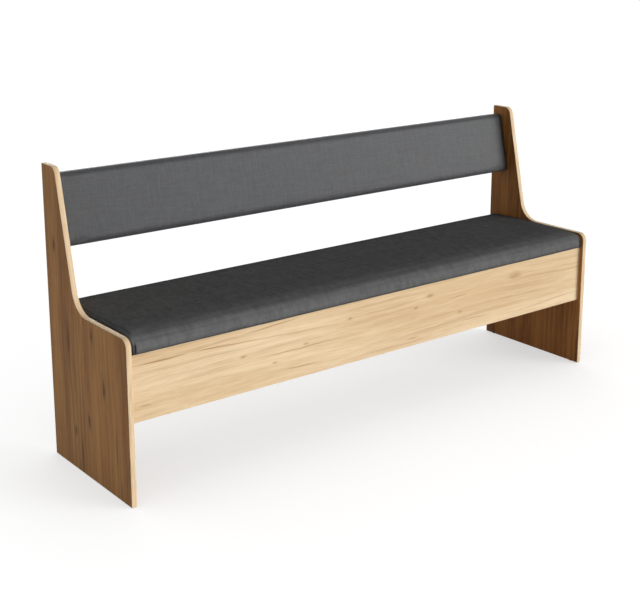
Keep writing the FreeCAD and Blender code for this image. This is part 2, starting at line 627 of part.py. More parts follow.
def staple_set(name, half_x, low, high, counts):
    """Places of staples inside the edges of a lining drawn in the XY plane."""
    reach = f"({half_x} - Sizes.staple_edge)"
    first = f"({low} + Sizes.staple_edge)"
    last = f"({high} - Sizes.staple_edge)"
    along, across = counts
    spots = []
    for number in range(along):
        x = f"{reach} * {2 * number + 1 - along} / {along}"
        spots += [(x, first, "0", STRAIGHT), (x, last, "0", STRAIGHT)]
    for number in range(across):
        y = f"{first} + ({last} - {first}) * {number + 1} / {across + 1}"
        spots += [(f"-{reach}", y, "0", QUARTER_Z), (reach, y, "0", QUARTER_Z)]
    return copies(name, staple_form, spots)


half_wire = "(Sizes.staple_wire / 2)"
half_staple = "(Sizes.staple_width / 2)"
staple_form = fuse("staple_form", [
    box("staple_crown", (f"-{half_staple}", half_staple), (f"-{half_wire}", half_wire),
        ("0", "Sizes.staple_wire")),
    box("staple_left_leg", (f"-{half_staple}", f"-{half_staple} + Sizes.staple_wire"),
        (f"-{half_wire}", half_wire), ("-Sizes.staple_leg", "0")),
    box("staple_right_leg", (f"{half_staple} - Sizes.staple_wire", half_staple),
        (f"-{half_wire}", half_wire), ("-Sizes.staple_leg", "0")),
])

# Seat
seat_half = f"({INNER} - Sizes.seat_gap)"
seat_front = f"({FRONT} + Sizes.seat_front_gap + Sizes.seat_swell)"
seat_rear = f"({REAR} - Sizes.seat_rear_gap - Sizes.seat_swell)"
board_rim = f"({SKIN} + Sizes.foam_wrap)"


def seat_form(name, inset):
    """The seat's form drawn in by the inset, crowned on top and flat below."""
    low, high = f"({SEAT_BOTTOM} + {inset})", f"({SEAT_BOTTOM} + Sizes.seat_rise - {inset})"
    near, far = f"({seat_front} + {inset})", f"({seat_rear} - {inset})"
    corners = [(near, low), (far, low), (far, high), (near, high)]
    swells = {1: "Sizes.seat_swell", 2: "Sizes.seat_crown", 3: "Sizes.seat_swell"}
    body = cushion_form(name, corners, swells, 0, (2, 3), "Sizes.seat_roll", seat_half, inset)
    return place(body, x=f"-({seat_half} - {inset})")


seat_outer = seat_form("seat_outer", "0")
seat_inner = seat_form("seat_inner", SKIN)
seat_board_x = (f"-({seat_half} - {board_rim})", f"({seat_half} - {board_rim})")
seat_board_y = (f"({seat_front} + {SKIN} + Sizes.foam_wrap - Sizes.seat_swell)",
                f"({seat_rear} - {SKIN} - Sizes.foam_wrap + Sizes.seat_swell)")
seat_board_z = (f"({SEAT_BOTTOM} + {SKIN})", f"({SEAT_BOTTOM} + {SKIN} + {BOARD})")
seat_blank = box("seat_blank", seat_board_x, seat_board_y, seat_board_z)
lining_half = f"({seat_half} - {board_rim} - Sizes.hem_width)"
lining_y = (f"({seat_board_y[0]} + Sizes.hem_width)", f"({seat_board_y[1]} - Sizes.hem_width)")
seat_window = box("seat_window", (f"-{lining_half}", lining_half), lining_y,
                  (SEAT_BOTTOM, f"{SEAT_BOTTOM} + {SKIN}"))
seat_staples = place(staple_set("seat_staple_set", lining_half, f"(-{lining_y[1]})",
                                f"(-{lining_y[0]})", SEAT_STAPLE_COUNTS), z=SEAT_BOTTOM, turn=HALF_X)
keep(cut("seat_panel", seat_blank, [seat_staples, lid_screw_drillings]), "seat_board")
keep(cut("seat_padding", seat_inner, [seat_blank]), "seat_foam")
keep(cut("seat_fabric", seat_outer, [seat_inner, seat_window]), "seat_cover")
keep(cut("seat_sheet", seat_window, [seat_staples, lid_screw_drillings]), "seat_lining")
keep(group("seat_staple_group", [seat_staples]), "seat_staples")

# Backrest, drawn upright in its leaning frame: Y through its thickness, Z up its height
back_half = f"({INNER} - Sizes.backrest_gap)"


def backrest_form(name, inset):
    """The backrest's form drawn in by the inset, crowned in front and flat behind."""
    near, far = f"({inset})", f"({BACKREST_REAR} - {inset})"
    low = f"(Sizes.backrest_swell + {inset})"
    high = f"(Sizes.backrest_height - Sizes.backrest_swell - {inset})"
    corners = [(near, low), (far, low), (far, high), (near, high)]
    swells = {0: "Sizes.backrest_swell", 2: "Sizes.backrest_swell", 3: "Sizes.backrest_crown"}
    body = cushion_form(name, corners, swells, 1, (0, 3), "Sizes.backrest_roll", back_half, inset)
    body.setExpression("Placement.Base.x", f"-({back_half} - {inset})")
    return body


back_outer = backrest_form("back_outer", "0")
back_inner = backrest_form("back_inner", SKIN)
back_board_y = (f"({BACKREST_REAR} - {SKIN} - {BOARD})", f"({BACKREST_REAR} - {SKIN})")
back_board_z = (board_rim, f"(Sizes.backrest_height - {board_rim})")
back_blank = box("back_blank", (f"-({back_half} - {board_rim})", f"({back_half} - {board_rim})"),
                 back_board_y, back_board_z)
back_lining_half = f"({back_half} - {board_rim} - Sizes.hem_width)"
back_lining_z = (f"({board_rim} + Sizes.hem_width)",
                 f"(Sizes.backrest_height - {board_rim} - Sizes.hem_width)")
back_window = box("back_window", (f"-{back_lining_half}", back_lining_half),
                  (f"{BACKREST_REAR} - {SKIN}", BACKREST_REAR), back_lining_z)
back_staples = place(staple_set("back_staple_set", back_lining_half, f"(-{back_lining_z[1]})",
                                f"(-{back_lining_z[0]})", BACKREST_STAPLE_COUNTS),
                     y=BACKREST_REAR, turn=Z_TO_Y)
square_dowels = copies("square_dowel_drillings", dowel_drill_form, lean_dowel_places)
square_screws = copies("square_screw_drillings", plate_drill_form, bracket_screw_places)
back_tools = [square_dowels, square_screws]
back_pieces = [
    (cut("back_panel", back_blank, [back_staples] + back_tools), "backrest_board"),
    (cut("back_padding", back_inner, [back_blank] + back_tools), "backrest_foam"),
    (cut("back_fabric", cut("back_shell", back_outer, [back_inner]), [back_window] + back_tools),
     "backrest_cover"),
    (cut("back_sheet", back_window, [back_staples]), "backrest_lining"),
    (group("back_staple_group", [back_staples]), "backrest_staples"),
    (copies("brackets", bracket_form, bracket_places), "backrest_brackets"),
    (copies("bracket_screw_set", plate_screw_form, bracket_screw_places), "bracket_screws"),
]
for item, name in back_pieces:
    keep(lean(item), name)

doc.recompute()

# Every object must have been built, and every sub-part must be one or more whole solids
faults = [item.Name for item in doc.Objects if "Invalid" in item.State or "Error" in item.State]
for item in nodes:
    shape = item.Shape
    if shape.isNull() or not shape.isValid() or not shape.Solids:
        faults.append(item.Label)
if faults:
    raise RuntimeError(f"not built: {', '.join(faults)}")

os.makedirs("parts", exist_ok=True)
for item in nodes:
    item.Shape.exportStep(f"parts/{item.Label}.step")
    print(f"{item.Label}: {len(item.Shape.Solids)} solids, {item.Shape.Volume / 1000:.2f} cm3")
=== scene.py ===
import math
from dataclasses import dataclass

import bmesh
import bpy
import numpy as np
from bpy.props import FloatProperty, FloatVectorProperty, PointerProperty
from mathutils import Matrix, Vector


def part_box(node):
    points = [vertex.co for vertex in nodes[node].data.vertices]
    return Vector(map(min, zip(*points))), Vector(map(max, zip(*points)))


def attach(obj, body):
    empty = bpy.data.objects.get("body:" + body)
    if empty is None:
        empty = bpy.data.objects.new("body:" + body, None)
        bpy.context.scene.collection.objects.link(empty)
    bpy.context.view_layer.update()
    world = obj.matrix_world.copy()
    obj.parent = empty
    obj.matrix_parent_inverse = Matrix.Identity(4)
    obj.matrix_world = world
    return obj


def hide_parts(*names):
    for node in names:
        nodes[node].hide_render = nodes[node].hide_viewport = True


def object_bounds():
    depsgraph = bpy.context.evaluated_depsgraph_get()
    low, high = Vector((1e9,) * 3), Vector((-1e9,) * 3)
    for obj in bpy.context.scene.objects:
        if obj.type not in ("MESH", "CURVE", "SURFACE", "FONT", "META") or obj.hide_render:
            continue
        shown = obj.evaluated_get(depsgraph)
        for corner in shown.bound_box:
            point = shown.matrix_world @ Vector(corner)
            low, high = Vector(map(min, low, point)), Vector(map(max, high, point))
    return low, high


bl_info = {
    "name": "Padded Storage Bench",
    "version": (1, 0, 0),
    "blender": (4, 5, 0),
    "location": "View3D > Sidebar > Bench",
    "description": "Dresses a storage bench with oak decor, edge bands, cushions and fittings",
    "category": "Object",
}

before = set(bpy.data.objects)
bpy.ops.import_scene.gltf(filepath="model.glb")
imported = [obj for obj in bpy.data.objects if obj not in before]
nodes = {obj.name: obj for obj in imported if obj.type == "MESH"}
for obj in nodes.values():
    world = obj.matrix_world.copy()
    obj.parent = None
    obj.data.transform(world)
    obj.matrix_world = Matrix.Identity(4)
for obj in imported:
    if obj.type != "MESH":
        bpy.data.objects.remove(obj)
frame_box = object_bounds()
bench_low, bench_high = frame_box


# Sizes and colours that a user would change

class BenchBoards(bpy.types.PropertyGroup):
    front_light: FloatVectorProperty(
        name="Front, light grain",
        description="Pale oak between the grain lines of the chest's panels",
        subtype="COLOR", default=(0.90, 0.705, 0.460), min=0, max=1)
    front_dark: FloatVectorProperty(
        name="Front, dark grain", description="Darker oak in the grain lines of the chest's panels",
        subtype="COLOR", default=(0.72, 0.500, 0.275), min=0, max=1)
    # painted shade: the side panels' oak is a darker, browner copy of the chest's oak, for the
    # shade on the side faces
    shaded_side_light: FloatVectorProperty(
        name="Side, light grain", description="Light oak of the side panels",
        subtype="COLOR", default=(0.66, 0.330, 0.108), min=0, max=1)
    shaded_side_dark: FloatVectorProperty(
        name="Side, dark grain", description="Brown oak in the side panels' grain lines",
        subtype="COLOR", default=(0.32, 0.130, 0.034), min=0, max=1)
    crack: FloatVectorProperty(
        name="Front, cracks", description="Brown in cracks and knots of the chest's panels",
        subtype="COLOR", default=(0.38, 0.175, 0.055), min=0, max=1)
    # painted shade: a darker copy of the chest's crack colour for the side faces
    shaded_side_crack: FloatVectorProperty(
        name="Side, cracks", description="Brown in cracks and knots of the side panels",
        subtype="COLOR", default=(0.13, 0.052, 0.017), min=0, max=1)
    band: FloatVectorProperty(
        name="Edge band", description="Plastic band on the board edges",
        subtype="COLOR", default=(0.85, 0.655, 0.425), min=0, max=1)
    band_rounding: FloatProperty(
        name="Band rounding", description="Rounding of the edge band's two outer edges",
        subtype="DISTANCE", unit="LENGTH", default=0.0008, min=0.0001, max=0.001)


class BenchFabric(bpy.types.PropertyGroup):
    seat: FloatVectorProperty(
        name="Seat fabric", description="Anthracite cloth of the seat",
        subtype="COLOR", default=(0.088, 0.089, 0.088), min=0, max=1)
    backrest: FloatVectorProperty(
        name="Backrest fabric", description="Anthracite cloth of the backrest",
        subtype="COLOR", default=(0.043, 0.044, 0.047), min=0, max=1)
    thread: FloatProperty(
        name="Thread pitch", description="Distance between neighbouring threads of the weave",
        subtype="DISTANCE", unit="LENGTH", default=0.0012, min=0.0005, max=0.004)
    pressure: FloatProperty(
        name="Filling pressure", description="Pressure of the foam behind the cloth",
        default=4.0, min=0, max=20)
    swell: FloatProperty(
        name="Swell", description="The furthest that the cloth may rise over the cut foam",
        subtype="DISTANCE", unit="LENGTH", default=0.002, min=0, max=0.01)
    pleat_depth: FloatProperty(
        name="Pleat depth", description="Depth of the folded corners' crease",
        subtype="DISTANCE", unit="LENGTH", default=0.0020, min=0, max=0.003)


class BenchStage(bpy.types.PropertyGroup):
    key: FloatProperty(
        name="Key light",
        description="Share of white that the key light gives a face turned to it",
        default=1.06, min=0, max=3)
    fill: FloatProperty(
        name="Rear light",
        description="Share of white that the light from behind gives a face turned to it",
        default=0.30, min=0, max=3)
    sky: FloatProperty(
        name="Sky", description="Share of white that the surroundings give",
        default=0.28, min=0, max=2)
    lens: FloatProperty(
        name="Lens", description="Focal length of the camera", subtype="DISTANCE_CAMERA",
        default=68.34, min=10, max=300)


# Finishes: shader values that Python's operators combine

class Term:
    """A number, vector or colour of a finish. Operators on it add the nodes that work them out."""

    def __init__(self, finish, socket):
        self.finish = finish
        self.socket = socket

    def combined(self, other, operation, swapped=False):
        """Numbers go through Math, vectors through Vector Math and colours through Mix."""
        pair = (other, self) if swapped else (self, other)
        kinds = {item.socket.type for item in pair if isinstance(item, Term)}
        if "RGBA" in kinds:
            settings = {"data_type": "RGBA", "blend_type": operation}
            return self.finish.node("Mix", settings, {0: 1.0, 6: pair[0], 7: pair[1]}, 2)
        kind = "VectorMath" if "VECTOR" in kinds else "Math"
        return self.finish.node(kind, {"operation": operation}, {0: pair[0], 1: pair[1]})

    def __add__(self, other):
        return self.combined(other, "ADD")

    def __radd__(self, other):
        return self.combined(other, "ADD", True)

    def __sub__(self, other):
        return self.combined(other, "SUBTRACT")

    def __rsub__(self, other):
        return self.combined(other, "SUBTRACT", True)

    def __mul__(self, other):
        return self.combined(other, "MULTIPLY")

    def __rmul__(self, other):
        return self.combined(other, "MULTIPLY", True)

    def __truediv__(self, other):
        return self.combined(other, "DIVIDE")

    def __rtruediv__(self, other):
        return self.combined(other, "DIVIDE", True)

    def __pow__(self, other):
        return self.combined(other, "POWER")

    def __rpow__(self, other):
        return self.combined(other, "POWER", True)

    def __abs__(self):
        return self.maths("ABSOLUTE")

    def maths(self, operation, other=0.0):
        """A number put through one Math node."""
        return self.finish.node("Math", {"operation": operation}, {0: self, 1: other})

    def parts(self):
        """The three numbers of a vector."""
        return [self.finish.node("SeparateXYZ", {}, {0: self}, axis) for axis in range(3)]

    def step(self, low, high):
        """0 below low, 1 above high, and an S-shaped rise between them."""
        sockets = {0: self, 1: low, 2: high}
        return self.finish.node("MapRange", {"interpolation_type": "SMOOTHSTEP"}, sockets)

    def between(self, first, second):
        """The first colour where this number is 0 and the second where it is 1."""
        return self.finish.node("Mix", {"data_type": "RGBA"}, {0: self, 6: first, 7: second}, 2)


class Finish:
    """The nodes of one material, or of the world round the bench."""

    def __init__(self, name, kind="materials"):
        self.material = getattr(bpy.data, kind).new(name)
        self.material.use_nodes = True
        self.tree = self.material.node_tree
        self.tree.nodes.clear()

    def node(self, kind, settings, sockets, out=0):
        """Adds a node: first its settings, then the values or links of its sockets."""
        made = self.tree.nodes.new("ShaderNode" + kind)
        for key, setting in settings.items():
            setattr(made, key, setting)
        for key, given in sockets.items():
            socket = made.inputs[key]
            number = isinstance(given, (int, float))
            if isinstance(given, Term):
                self.tree.links.new(given.socket, socket)
            elif socket.type == "RGBA":
                socket.default_value = (given, given, given, 1) if number else (*given[:3], 1)
            elif socket.type == "VECTOR":
                socket.default_value = (given, given, given) if number else given[:3]
            else:
                socket.default_value = given
        return Term(self, made.outputs[out]) if made.outputs else None

    def place(self):
        """Object coordinates, in metres in the bench's frame."""
        return self.node("TexCoord", {}, {}, "Object")

    def facing(self):
        """The surface's direction in the bench's frame at rest."""
        return self.node("NewGeometry", {}, {}, "Normal")

    def vector(self, x, y, z):
        return self.node("CombineXYZ", {}, {0: x, 1: y, 2: z})

    def noise(self, point, scale=1.0, detail=2.0, rough=0.5):
        """Smooth noise about 0.5."""
        sockets = {"Vector": point, "Scale": scale, "Detail": detail, "Roughness": rough}
        return self.node("TexNoise", {}, sockets)

    def cells(self, point, scale):
        """Distance to the nearest of scattered points."""
        return self.node("TexVoronoi", {}, {"Vector": point, "Scale": scale})

    def seen(self):
        """1 where a surface or the sky is seen, directly, mirrored or through glass, and else 0."""
        camera, glossy, through = [self.node("LightPath", {}, {}, f"Is {kind} Ray")
                                   for kind in ("Camera", "Glossy", "Transmission")]
        return (camera + glossy + through).maths("MINIMUM", 1.0)

    def surface(self, colour, rough, height, depth, strength, gloss=0.5, metallic=0.0):
        """Ends the finish in a shader: what varies goes by link, what is uniform by value."""
        bump = {"Strength": strength, "Distance": depth, "Height": height}
        sockets = {"Base Color": colour, "Roughness": rough, "Metallic": metallic,
                   "Specular IOR Level": gloss, "Normal": self.node("Bump", {}, bump)}
        shader = self.node("BsdfPrincipled", {}, sockets)
        self.node("OutputMaterial", {"is_active_output": True}, {"Surface": shader})
        return self.material


def dress(material, *names):
    """Gives CAD pieces a finish."""
    for name in names:
        piece = nodes[name]
        if not piece.material_slots:
            piece.data.materials.append(material)
        for slot in piece.material_slots:
            slot.material = material


# Oak print

def knot_pull(along, across, knots):
    """How far the grain is pushed aside: lines spread round each knot, in a bell of its size."""
    push = 0.0
    for a, c, size in knots:
        da = (along - a) / (size * 2.6)
        dc = (across - c) / size
        push = push + (across - c) * (math.e ** (-1 * (da * da + dc * dc)))
    return push


def crack_lines(finish, along, across, cracks):
    """Thin dark lines: each has a middle, half length, slope, half width and strength. A line's
    darkness falls straight off from its middle and along it as the root of 1 - run^2."""
    wave = finish.noise(finish.vector(along * 11, across * 6, 3.7), 1.0, 3.0) - 0.5
    total = 0.0
    for a, c, half, slope, width, strength in cracks:
        run = (along - a) / half
        fade = (1 - run * run).maths("MAXIMUM", 0.0)
        off = abs(across - c - (along - a) * slope - wave * 0.007) / (fade * width + 0.0004)
        total = total + (1 - off).maths("MAXIMUM", 0.0) * fade.maths("POWER", 0.5) * strength
    return total


def oak_print(name, along_axis, across_axis, light, dark, crack, knots, cracks, streaks, seed,
              ringed=0.4, knot_strength=0.6, margin=None):
    """Oak decor paper on a board: broad tones, grain lines and pores drawn out along the grain,
    growth rings in patches, lines that flow round knots, and cracks. Past the margin the grain
    is darker by its share. Where the board's face ends, raw chipboard."""
    finish = Finish(name)
    place = finish.place().parts()
    along, across = place[along_axis], place[across_axis]
    thick_axis = 3 - along_axis - across_axis
    layer = place[thick_axis] * 37.0 + seed
    drift = finish.noise(finish.vector(along * 1.7, across * 5.0, layer), 1.0, 2.0) - 0.5
    grain = across + drift * 0.02
    if knots:
        grain = grain - knot_pull(along, across, knots) * 0.85
    broad = finish.noise(finish.vector(along * 1.1, grain * 13.0, layer), 1.0, 2.0)
    lines = finish.noise(finish.vector(along * 3.0, grain * 70.0, layer + 4), 1.0, 4.0, 0.6)
    fine = finish.noise(finish.vector(along * 12.0, grain * 230.0, layer + 9), 1.0, 3.0, 0.65)
    fleck = finish.noise(finish.vector(along * 24.0, grain * 150.0, layer + 14), 1.0, 2.0)
    pores = finish.noise(finish.vector(along * 70.0, grain * 1500.0, layer + 2), 1.0, 2.0)
    rings = (broad * 22.0 + grain * 260.0 + fine * 1.6).maths("SINE").step(0.1, 1.0)
    close_rings = (broad * 44.0 + grain * 900.0 + fine * 2.5).maths("SINE").step(0.2, 1.0)
    patch = (finish.noise(finish.vector(along * 2.4, across * 9.0, layer + 30), 1.0, 1.0)
             .step(0.42, 0.66))
    tone = (broad * 0.44 + lines * 0.26 + fine * 0.30).step(0.35, 0.65)
    if margin:
        edge_at, share = margin
        rim = (across + drift * 0.02 + (lines - 0.5) * 0.006).step(edge_at - 0.006, edge_at + 0.006)
        tone = tone * (1 - rim * share)
    colour = tone.between(dark, light)
    streak = (finish.noise(finish.vector(along * 2.1, grain * 34.0, layer + 21), 1.0, 5.0, 0.62)
              .step(0.54, 0.72))
    marks = (streak * patch * streaks + (rings * 0.5 + close_rings * 0.3) * patch * ringed
             + fleck.step(0.60, 0.80) * 0.14 + pores.step(0.60, 0.78) * 0.12)
    if cracks:
        marks = marks + crack_lines(finish, along, across, cracks)
    for a, c, size in knots:
        da = (along - a + drift * 0.01) / (size * 1.5)
        dc = (across - c + (lines - 0.5) * size) / (size * 0.55)
        spread = da * da + dc * dc + (fleck - 0.5) * 1.6
        marks = marks + (math.e ** (-1 * spread)).maths("MINIMUM", 1.0) * knot_strength
    colour = marks.maths("MINIMUM", 0.85).between(colour, crack)
    facing = finish.facing().parts()
    edge = 1 - abs(facing[thick_axis]).step(0.4, 0.6)
    chips = finish.cells(finish.vector(*place), 420.0)
    core = chips.step(0.1, 0.7).between((0.50, 0.33, 0.17), (0.78, 0.60, 0.38))
    colour = edge.between(colour, core)
    height = lines * 0.3 + fine * 0.5 - pores.step(0.58, 0.8) * 0.5 + edge * chips
    rough = 0.52 + fine * 0.12 + edge * 0.3
    return finish.surface(colour, rough, height, 0.0003, 0.5, gloss=0.22)


def band_finish(name, tint, along=None):
    """Plastic edge band: fine grain lines that run along the band and change across its width."""
    finish = Finish(name)
    x, y, z = finish.place().parts()
    if along is None:
        point = finish.vector(x * 520, y * 9, z * 9)
        wide = finish.vector(x * 130, y * 14, z * 14)
    else:
        point = finish.vector(x * 9, y * 520, z * 520)
        wide = finish.vector(x * 14, y * 130, z * 130)
    lines = finish.noise(point, 1.0, 3.0, 0.6)
    tone = finish.noise(wide, 1.0, 3.0)
    shade = (lines * 0.5 + tone * 0.5).step(0.34, 0.66)
    dark = tuple(part * share for part, share in zip(tint, (0.84, 0.78, 0.70)))
    light = tuple(min(1.0, part * share) for part, share in zip(tint, (1.07, 1.08, 1.10)))
    colour = shade.between(dark, light)
    return finish.surface(colour, 0.42 + lines * 0.14, lines, 0.0002, 0.3, gloss=0.08)


# Cloth

def woven_cloth(name, tint, pitch, slubs, streak, mottle, rough, highlight_share, gloss):
    """Plain weave on the piece's own thread map: threads over and under by turns, thick places
    in single threads both ways, and mottling and specks that fade where the cloth is stretched.
    Creases are darker with painted shade, and cloth stretched round an edge is lighter with a
    painted highlight by the highlight share."""
    finish = Finish(name)
    u, v, _ = finish.node("UVMap", {"uv_map": "Threads"}, {}).parts()
    over = (u * (math.pi / pitch)).maths("SINE") * (v * (math.pi / pitch)).maths("SINE")
    turn = over.step(-0.25, 0.25)
    warp = abs((u * (math.pi / pitch)).maths("SINE"))
    weft = abs((v * (math.pi / pitch)).maths("SINE"))
    height = warp * turn + weft * (1 - turn)
    thread_u = finish.noise(finish.vector(u * 620.0, v * 30.0, 1.3), 1.0, 3.0, 0.65)
    thread_v = finish.noise(finish.vector(u * 30.0, v * 620.0, 5.1), 1.0, 3.0, 0.65)
    slub_u = finish.noise(finish.vector(u * 250.0, v * 14.0, 8.4), 1.0, 2.0)
    slub_v = finish.noise(finish.vector(u * 14.0, v * 250.0, 2.6), 1.0, 2.0)
    cloud = finish.noise(finish.vector(u * 55.0, v * 28.0, 0.4), 1.0, 5.0, 0.7)
    speck = finish.noise(finish.vector(u * 190.0, v * 70.0, 3.9), 1.0, 2.0, 0.6)
    long_streak = finish.noise(finish.vector(u * 5.0, v * 90.0, 7.7), 1.0, 4.0, 0.6)
    # painted shade: the crease map darkens the folded corners and the lower hem
    crease = finish.node("Attribute", {"attribute_name": "crease"}, {}, "Fac")
    # painted highlight: this map lightens the cloth stretched round the edges, and also fades the
    # specks there
    taut_and_highlight = finish.node("Attribute", {"attribute_name": "taut_and_highlight"}, {}, "Fac")
    shade = (1 + (thread_u + thread_v - 1) * slubs + (slub_u + slub_v - 1) * (slubs * 0.62)
             + (cloud - 0.5) * mottle + (long_streak - 0.5) * streak
             + (speck - 0.5) * (1 - taut_and_highlight) * (mottle * 0.7) + (height - 0.6) * 0.22)
    # painted shade in the creases and a painted highlight on the stretched edges
    shade = shade * (1 - crease * 0.8) * (1 + taut_and_highlight * highlight_share)
    colour = finish.vector(*tint) * shade
    relief = height * 0.5 + thread_u * 0.6 + thread_v * 0.6 + slub_u * 0.5 + slub_v * 0.5
    return finish.surface(colour, rough - height * 0.06, relief, 0.0004, 0.6, gloss)


def plain_finish(name, light, dark, rough, scale, metallic=0.0, stretch=(1, 1, 1), relief=0.1,
                 gloss=0.5):
    """A finish of two near tones in soft noise, with a faint relief from the same noise."""
    finish = Finish(name)
    place = finish.place() * finish.vector(*stretch)
    tone = finish.noise(place, scale, 4.0, 0.6)
    fine = finish.noise(place, scale * 6, 2.0)
    colour = (tone * 0.7 + fine * 0.3).step(0.3, 0.7).between(dark, light)
    height = tone * 0.6 + fine * 0.4
    return finish.surface(colour, rough + (tone - 0.5) * 0.2, height, 0.0002, relief, gloss,
                          metallic)


DOT_PITCH = 0.0021  # between the lining's pressed dots


def lining_finish():
    """Black bonded lining: a grid of pressed dots over tangled fibres."""
    finish = Finish("black_lining")
    u, v, _ = finish.node("UVMap", {"uv_map": "Threads"}, {}).parts()
    dots = (u * (math.pi / DOT_PITCH)).maths("SINE") * (v * (math.pi / DOT_PITCH)).maths("SINE")
    pressed = abs(dots).step(0.55, 0.85)
    fibres = finish.noise(finish.vector(u * 420, v * 160, 0.3), 1.0, 4.0, 0.7)
    tone = (fibres * 0.8 + pressed * 0.2).step(0.25, 0.8)
    colour = tone.between((0.012, 0.012, 0.013), (0.050, 0.050, 0.053))
    height = fibres - pressed * 0.7
    return finish.surface(colour, 0.78 - pressed * 0.25, height, 0.0003, 0.6, gloss=0.25)


def floor_finish():
    """Thin fibreboard: pale printed oak on its upper face, bare brown fibre elsewhere."""
    finish = Finish("fibreboard_floor")
    x, y, z = finish.place().parts()
    print_lines = finish.noise(finish.vector(x * 3, y * 120, z), 1.0, 4.0, 0.6)
    printed = print_lines.step(0.34, 0.66).between((0.60, 0.42, 0.24), (0.76, 0.57, 0.36))
    fibre = finish.noise(finish.vector(x, y, z), 900.0, 4.0, 0.7)
    bare = fibre.step(0.3, 0.7).between((0.20, 0.11, 0.05), (0.34, 0.21, 0.11))
    upward = finish.facing().parts()[2].step(0.5, 0.8)
    colour = upward.between(bare, printed)
    return finish.surface(colour, 0.75 - upward * 0.25, fibre, 0.0002, 0.4, gloss=0.2)


def floor_paint():
    """White floor: seen directly it glows where the sky above it is open, so that it reads as
    white paper with the bench's soft shadow; for the bench's own light it is white paint."""
    finish = Finish("studio_floor")
    paint = finish.node("BsdfDiffuse", {}, {"Color": 0.80})
    thin = finish.node("BsdfDiffuse", {}, {"Color": 0.35})
    open_sky = finish.node("AmbientOcclusion", {"samples": 8}, {"Distance": 0.8}, "AO")
    glow = finish.node("Emission", {}, {"Color": 1.0, "Strength": 0.515 + open_sky * 0.35})
    shown = finish.node("AddShader", {}, {0: thin, 1: glow})
    mixed = finish.node("MixShader", {}, {0: finish.seen(), 1: paint, 2: shown})
    finish.node("OutputMaterial", {"is_active_output": True}, {"Surface": mixed})
    return finish.material


def sky(strength):
    """Even surroundings: white where seen or mirrored, weaker as light on the bench."""
    finish = Finish("studio_sky", "worlds")
    level = strength + finish.seen() * (1 - strength)
    light = finish.node("Background", {}, {"Color": 1.0, "Strength": level})
    finish.node("OutputWorld", {"is_active_output": True}, {"Surface": light})
    return finish.material


# Shapes

def shape_piece(name, points, faces, finish, body, threads=None):
    """Makes a mesh of points and faces, turns its faces outward and lets it ride on its body.

    The thread map has one pair for each face corner, in the order of the faces.
    """
    mesh = bpy.data.meshes.new(name)
    mesh.from_pydata(points.tolist(), [], faces)
    piece = bpy.data.objects.new(name, mesh)
    bpy.context.scene.collection.objects.link(piece)
    if threads is not None:
        layer = mesh.uv_layers.new(name="Threads")
        layer.data.foreach_set("uv", threads.astype(np.float32).ravel())
    shell = bmesh.new()
    shell.from_mesh(mesh)
    bmesh.ops.recalc_face_normals(shell, faces=shell.faces)
    shell.to_mesh(mesh)
    shell.free()
    mesh.shade_smooth()
    mesh.materials.append(finish)
    if body:
        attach(piece, body)
    return piece


def tube_faces(rings, around):
    """Quads of a tube: ring by ring along it, and closed round it."""
    ring, spot = np.meshgrid(np.arange(rings - 1), np.arange(around), indexing="ij")
    after = (spot + 1) % around
    quads = np.stack([ring * around + spot, ring * around + after,
                      (ring + 1) * around + after, (ring + 1) * around + spot], -1)
    return quads.reshape(-1, 4).tolist()


def rounded_path(corners, radii, steps=14):
    """Points and outward directions along straight runs joined by arcs.

    At a corner with unit directions u in and v out, the arc starts r tan(turn / 2) before it
    and its direction turns evenly from u to v. Outward is to the left of the way.
    """
    corners = np.array(corners, float)
    runs = np.diff(corners, axis=0)
    ways = runs / np.linalg.norm(runs, axis=1, keepdims=True)
    points, headings = [corners[:1]], [ways[:1]]
    for corner, before, after, radius in zip(corners[1:-1], ways[:-1], ways[1:], radii):
        turn = math.atan2(before[0] * after[1] - before[1] * after[0], before @ after)
        start = corner - before * radius * math.tan(abs(turn) / 2)
        angle = np.linspace(0, turn, steps)
        side = math.copysign(1.0, turn)
        left = np.array([-before[1], before[0]]) * side
        swing = np.abs(angle)[:, None]
        points.append(start + radius * (np.sin(swing) * before + (1 - np.cos(swing)) * left))
        headings.append(np.cos(swing) * before + np.sin(swing) * left)
    points.append(corners[-1:])
    headings.append(ways[-1:])
    heading = np.concatenate(headings)
    return np.concatenate(points), np.stack([-heading[:, 1], heading[:, 0]], -1)


def edge_band(name, corners, radii, plane, across, rounding, finish):
    """A band's section, flat with two rounded outer edges, is carried along straight runs
    joined by arcs.

    A point of the section at (a, n) goes to path + n outward in the plane, and a across it.
    """
    path, outward = rounded_path(corners, radii)
    low, high = across
    angle = np.linspace(0, math.pi / 2, 5)
    corner = np.stack([1 - np.cos(angle), np.sin(angle) - 1], -1) * rounding
    section = np.concatenate([
        [[low, -BAND]], corner + [low, 0],
        (corner * [-1, 1] + [high, 0])[::-1], [[high, -BAND]],
    ])
    flat = path[:, None, :] + section[None, :, 1:] * outward[:, None, :]
    points = np.empty((*flat.shape[:2], 3))
    points[..., plane[0]] = flat[..., 0]
    points[..., plane[1]] = flat[..., 1]
    points[..., 3 - sum(plane)] = section[None, :, 0]
    rings, around = points.shape[:2]
    faces = tube_faces(rings, around)
    faces += [list(range(around)), list(range((rings - 1) * around, rings * around))]
    band = shape_piece(name, points.reshape(-1, 3), faces, finish, "carcass")
    band.data.set_sharp_from_angle(angle=math.radians(50))
    return band


# Cushions

